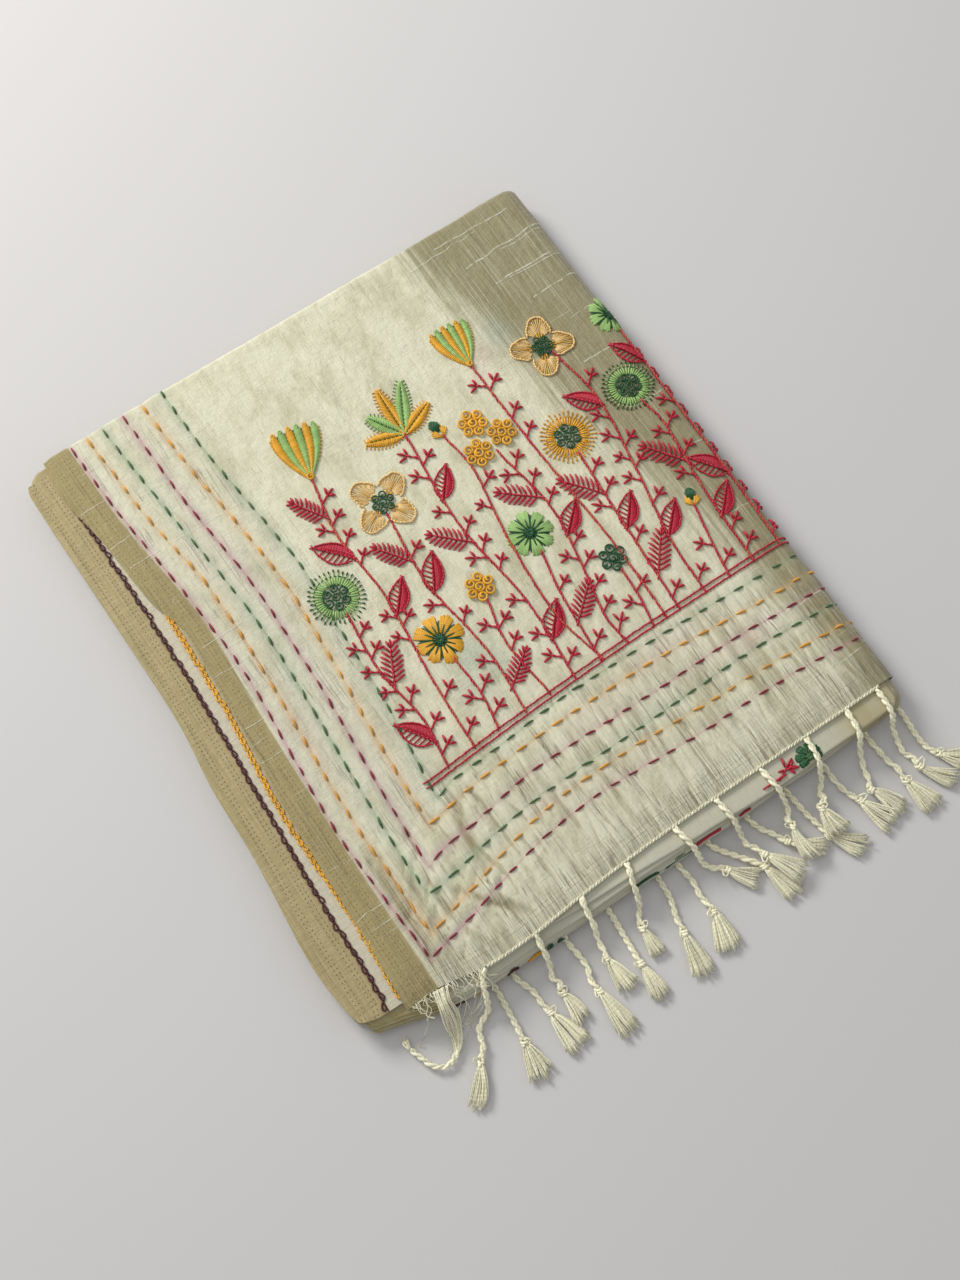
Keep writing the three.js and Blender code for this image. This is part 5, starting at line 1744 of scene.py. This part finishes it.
def row_tints(n, flat, colour, beside):
    """The running thread shows faintly between its stitches and tints the cloth beside it."""
    phase = n.value("rows", 0)
    whole = n.math("ROUND", phase)
    off_row = n.apart(phase, whole)
    inside = n.times(n.step(phase, 0.55, 0.65), n.fade(phase, 6.35, 6.45))
    third = n.math("MODULO", n.minus(whole, 1.0), 3.0)
    patchy = n.times_plus(n.noise(flat, (0.09, 0.07, 1), 3), 2.4, -0.3, clamp=True)
    hazy = n.times(n.fade(off_row, 0.05, 0.38), n.times_plus(beside, 0.26, 0.16))
    on_row = n.times(n.fade(off_row, 0.035, 0.085), 0.26)
    for (crimson, orange, green), amount in ((HAZE_TINTS, hazy), (THREAD_TINTS, on_row)):
        tint = n.mix(n.math("GREATER_THAN", third, 0.5), crimson, orange)
        tint = n.mix(n.math("GREATER_THAN", third, 1.5), tint, green)
        colour = n.mix(n.times(n.times(amount, inside), patchy), colour, tint)
    return colour


def face_material():
    n = Nodes("cloth_fair_side", roughness=0.72, specular=0.35, sheen=0.35, sheen_roughness=0.45)
    flat, border_edge = n.value("flat"), n.value("zones", 0)
    hair, slub, warp, weft, height = weave(n, flat)
    tone = n.times_plus(warp, 0.22, n.times_plus(weft, 0.24, 0.76))
    cloudy = n.step(n.noise(flat, (0.06, 0.03, 1), 4, 0.65), 0.4, 0.7)
    ends, beside = n.fade(n.value("zones", 2), 66, 92), n.fade(border_edge, 46, 62)
    colour, band = band_over(n, flat, n.mix(cloudy, CREAM, CREAM_SHADE))
    colour, height = creases_over(n, flat, colour, height, ends, beside)
    colour = show_through_and_fold_shade(n, flat, colour)
    # Painted shade: beside the side rows and away from the ends, the cream is mixed towards a darker
    # grey.
    colour = n.mix(n.times(n.times(beside, n.minus(1.0, ends)), 0.28), colour, SIDE_SHADE)
    colour, height = pleats_over(n, flat, colour, height)
    colour = row_tints(n, flat, colour, beside)
    border = n.fade(border_edge, -0.8, 0.6)
    streak = n.step(n.noise(flat, (1.1, 0.012, 1), 2), 0.3, 0.75)
    colour = n.mix(border, colour, n.mix(streak, OLIVE, OLIVE_DARK))
    colour = n.mix(n.times(hair, 0.3), colour, BROWN)
    deep = n.larger(border, band)
    colour = n.mix(n.times(slub, n.times_plus(deep, 0.4, 0.3)), colour, PALE)
    thick = n.times(weft_slubs(n, flat), n.times_plus(deep, 0.4, 0.2))
    colour = n.mix(thick, colour, PALE)
    holes = pinholes(n, border_edge, n.parts(flat)[1], (-4.5, -11.0), 2.5, 0.34)
    colour = n.mix(n.times(holes, 0.65), colour, HOLE)
    return n.finish(colour, tone, n.plus(height, thick), strength=0.85, distance=0.0006)


def second_material():
    n = Nodes("cloth_wrong_side", roughness=0.66, specular=0.4, sheen=0.4, sheen_roughness=0.4)
    flat = n.value("flat")
    hair, slub, warp, weft, height = weave(n, flat, 0.6)
    maroon, yellow, edge = (n.value("zones", k) for k in range(3))
    streak = n.step(n.noise(flat, (1.6, 0.03, 1), 3, 0.6), 0.3, 0.8)
    olive = n.mix(streak, BACK_OLIVE, OLIVE_DARK)
    # The cream strip between the rows: its own cream, darkened with painted shade.
    colour = n.mix(n.step(maroon, 0.2, 1.1), olive, BACK_CREAM_SHADED)
    colour = n.mix(n.times(n.step(yellow, 0.4, 2.0), 0.85), colour, olive)
    # Painted shade in the groove 3.6 mm in from the folded left edge.
    colour = n.mix(n.times(n.near(edge, 3.6, 0.15, 0.6), 0.4), colour, OLIVE_DARK)
    holes = pinholes(n, maroon, n.parts(flat)[1], (-4.6, -11.4), 2.4, 0.36)
    colour = n.mix(n.times(holes, 0.8), colour, BACK_HOLE)
    colour = n.mix(n.times(slub, 0.4), colour, BACK_SLUB)
    colour = n.mix(n.times(hair, 0.22), colour, BACK_HAIR)
    tone = n.times_plus(warp, 0.16, n.times_plus(weft, 0.08, 0.86))
    height = n.times_plus(n.noise(flat, (0.06, 0.3, 1), 3, 0.6), 1.3, height)
    return n.finish(colour, tone, height, strength=0.6, distance=0.0006)


def layer_material():
    n = Nodes("cloth_layers", roughness=0.8, specular=0.3, sheen=0.3)
    flat, x = n.value("flat"), n.value("flat", 0)
    hair, _, warp, weft, height = weave(n, flat, 0.3)
    olive = n.larger(n.times(n.step(x, 92, 124), 0.75), n.fade(x, -138, -118))
    colour = n.mix(olive, STACK, OLIVE)
    thin = n.step(n.noise(flat, (0.05, 0.05, 2.2), 2), 0.4, 0.7)
    colour = n.mix(n.times(thin, 0.25), colour, STACK_THIN)
    colour = n.mix(n.times(hair, 0.25), colour, BROWN)
    tone = n.times_plus(warp, 0.08, n.times_plus(weft, 0.06, 0.92))
    return n.finish(colour, tone, height, strength=0.5, distance=0.0005)


def yarn_material(name, colour, roughness, sheen, twist, specular=0.5):
    """Twisted thread: fine slanted plies, with painted shade in the grooves between them and painted
    light on their crowns, and a tone for each stitch.
    """
    n = Nodes(name, roughness, specular, sheen, sheen_roughness=0.35)
    along_yarn, around, tone = (n.value("yarn", k) for k in range(3))
    slant = n.plus(n.times(along_yarn, twist), n.times(around, 2.0))
    ply = n.math("SINE", n.times(slant, 2 * math.pi))
    # The ply wave darkens the colour in the grooves and lightens it on the crowns: painted shade and
    # light along the twist.
    return n.finish(colour, n.times_plus(ply, 0.08, tone), ply, strength=0.3, distance=0.0002)


face_cloth, second_cloth, layer_cloth = face_material(), second_material(), layer_material()
fringe_silk = yarn_material("fringe_silk", FRINGE, roughness=0.26, sheen=0.6, twist=0.5, specular=0.8)


def dress(obj, material):
    obj.data.materials.append(material)
    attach(obj, "root")


dress(face, face_cloth)
dress(under, face_cloth)
dress(second, second_cloth)
dress(layers, layer_cloth)
for piece in (fringe_upper, fringe_lower, fringe_loose):
    dress(piece, fringe_silk)
for name, piece in stitches.items():
    thread_look = yarn_material("thread_" + name, THREADS[name], roughness=0.4, sheen=0.06, twist=1.1)
    dress(piece, thread_look)

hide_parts("pallu_face")
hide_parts("second_stretch")
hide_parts("pallu_underside")
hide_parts("inner_stack")
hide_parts("fringe_top")
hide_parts("fringe_under")

# Floor, light and camera

bpy.ops.mesh.primitive_plane_add(size=6, location=(0, 0, -0.0002))
floor = bpy.context.object
floor.name = "floor"
floor_look = Nodes("floor_pale", roughness=0.85, specular=0.2)
floor_look.shader.inputs["Base Color"].default_value = FLOOR
floor.data.materials.append(floor_look.material)


def area_light(name, place, size, power, tint):
    """A round light that points at the middle of the frame."""
    light = bpy.data.lights.new(name, "AREA")
    light.shape, light.size, light.energy, light.color = "DISK", size, power, tint
    obj = bpy.data.objects.new(name, light)
    obj.location = place
    obj.rotation_mode = "QUATERNION"
    obj.rotation_quaternion = (-Vector(place)).to_track_quat("-Z", "Y")
    bpy.context.scene.collection.objects.link(obj)


area_light("window", (-0.45, 1.45, 0.95), size=0.7, power=26.5, tint=(1.0, 0.985, 0.95))
area_light("room", (-0.5, 0.3, 1.8), size=1.6, power=4, tint=(0.98, 0.99, 1.0))

world = bpy.data.worlds.new("studio")
world.use_nodes = True
sky = world.node_tree.nodes["Background"].inputs
sky["Color"].default_value = (0.97, 0.98, 1.0, 1)
sky["Strength"].default_value = 0.43
bpy.context.scene.world = world
bpy.context.scene.view_settings.view_transform = "Standard"

AZIMUTH, ELEVATION, ROLL = -39.06, 70.77, 4.94
DISTANCE, TARGET = 1003.75, (-11.22, -30.41, 0)


def make_camera():
    a, e, r = (math.radians(v) for v in (AZIMUTH, ELEVATION, ROLL))
    back = Vector((math.sin(a) * math.cos(e), -math.cos(a) * math.cos(e), math.sin(e)))
    right = Vector((0, 0, 1)).cross(back).normalized()
    up = back.cross(right)
    right, up = right * math.cos(r) + up * math.sin(r), up * math.cos(r) - right * math.sin(r)
    data = bpy.data.cameras.new("camera")
    data.sensor_width, data.lens = 36, 56.25
    data.clip_start, data.clip_end = 0.05, 20
    camera = bpy.data.objects.new("camera", data)
    turn = Matrix((right, up, back)).transposed()
    place = (Vector(TARGET) + back * DISTANCE) * MM
    camera.matrix_world = Matrix.Translation(place) @ turn.to_4x4()
    bpy.context.scene.collection.objects.link(camera)
    bpy.context.scene.camera = camera


make_camera()
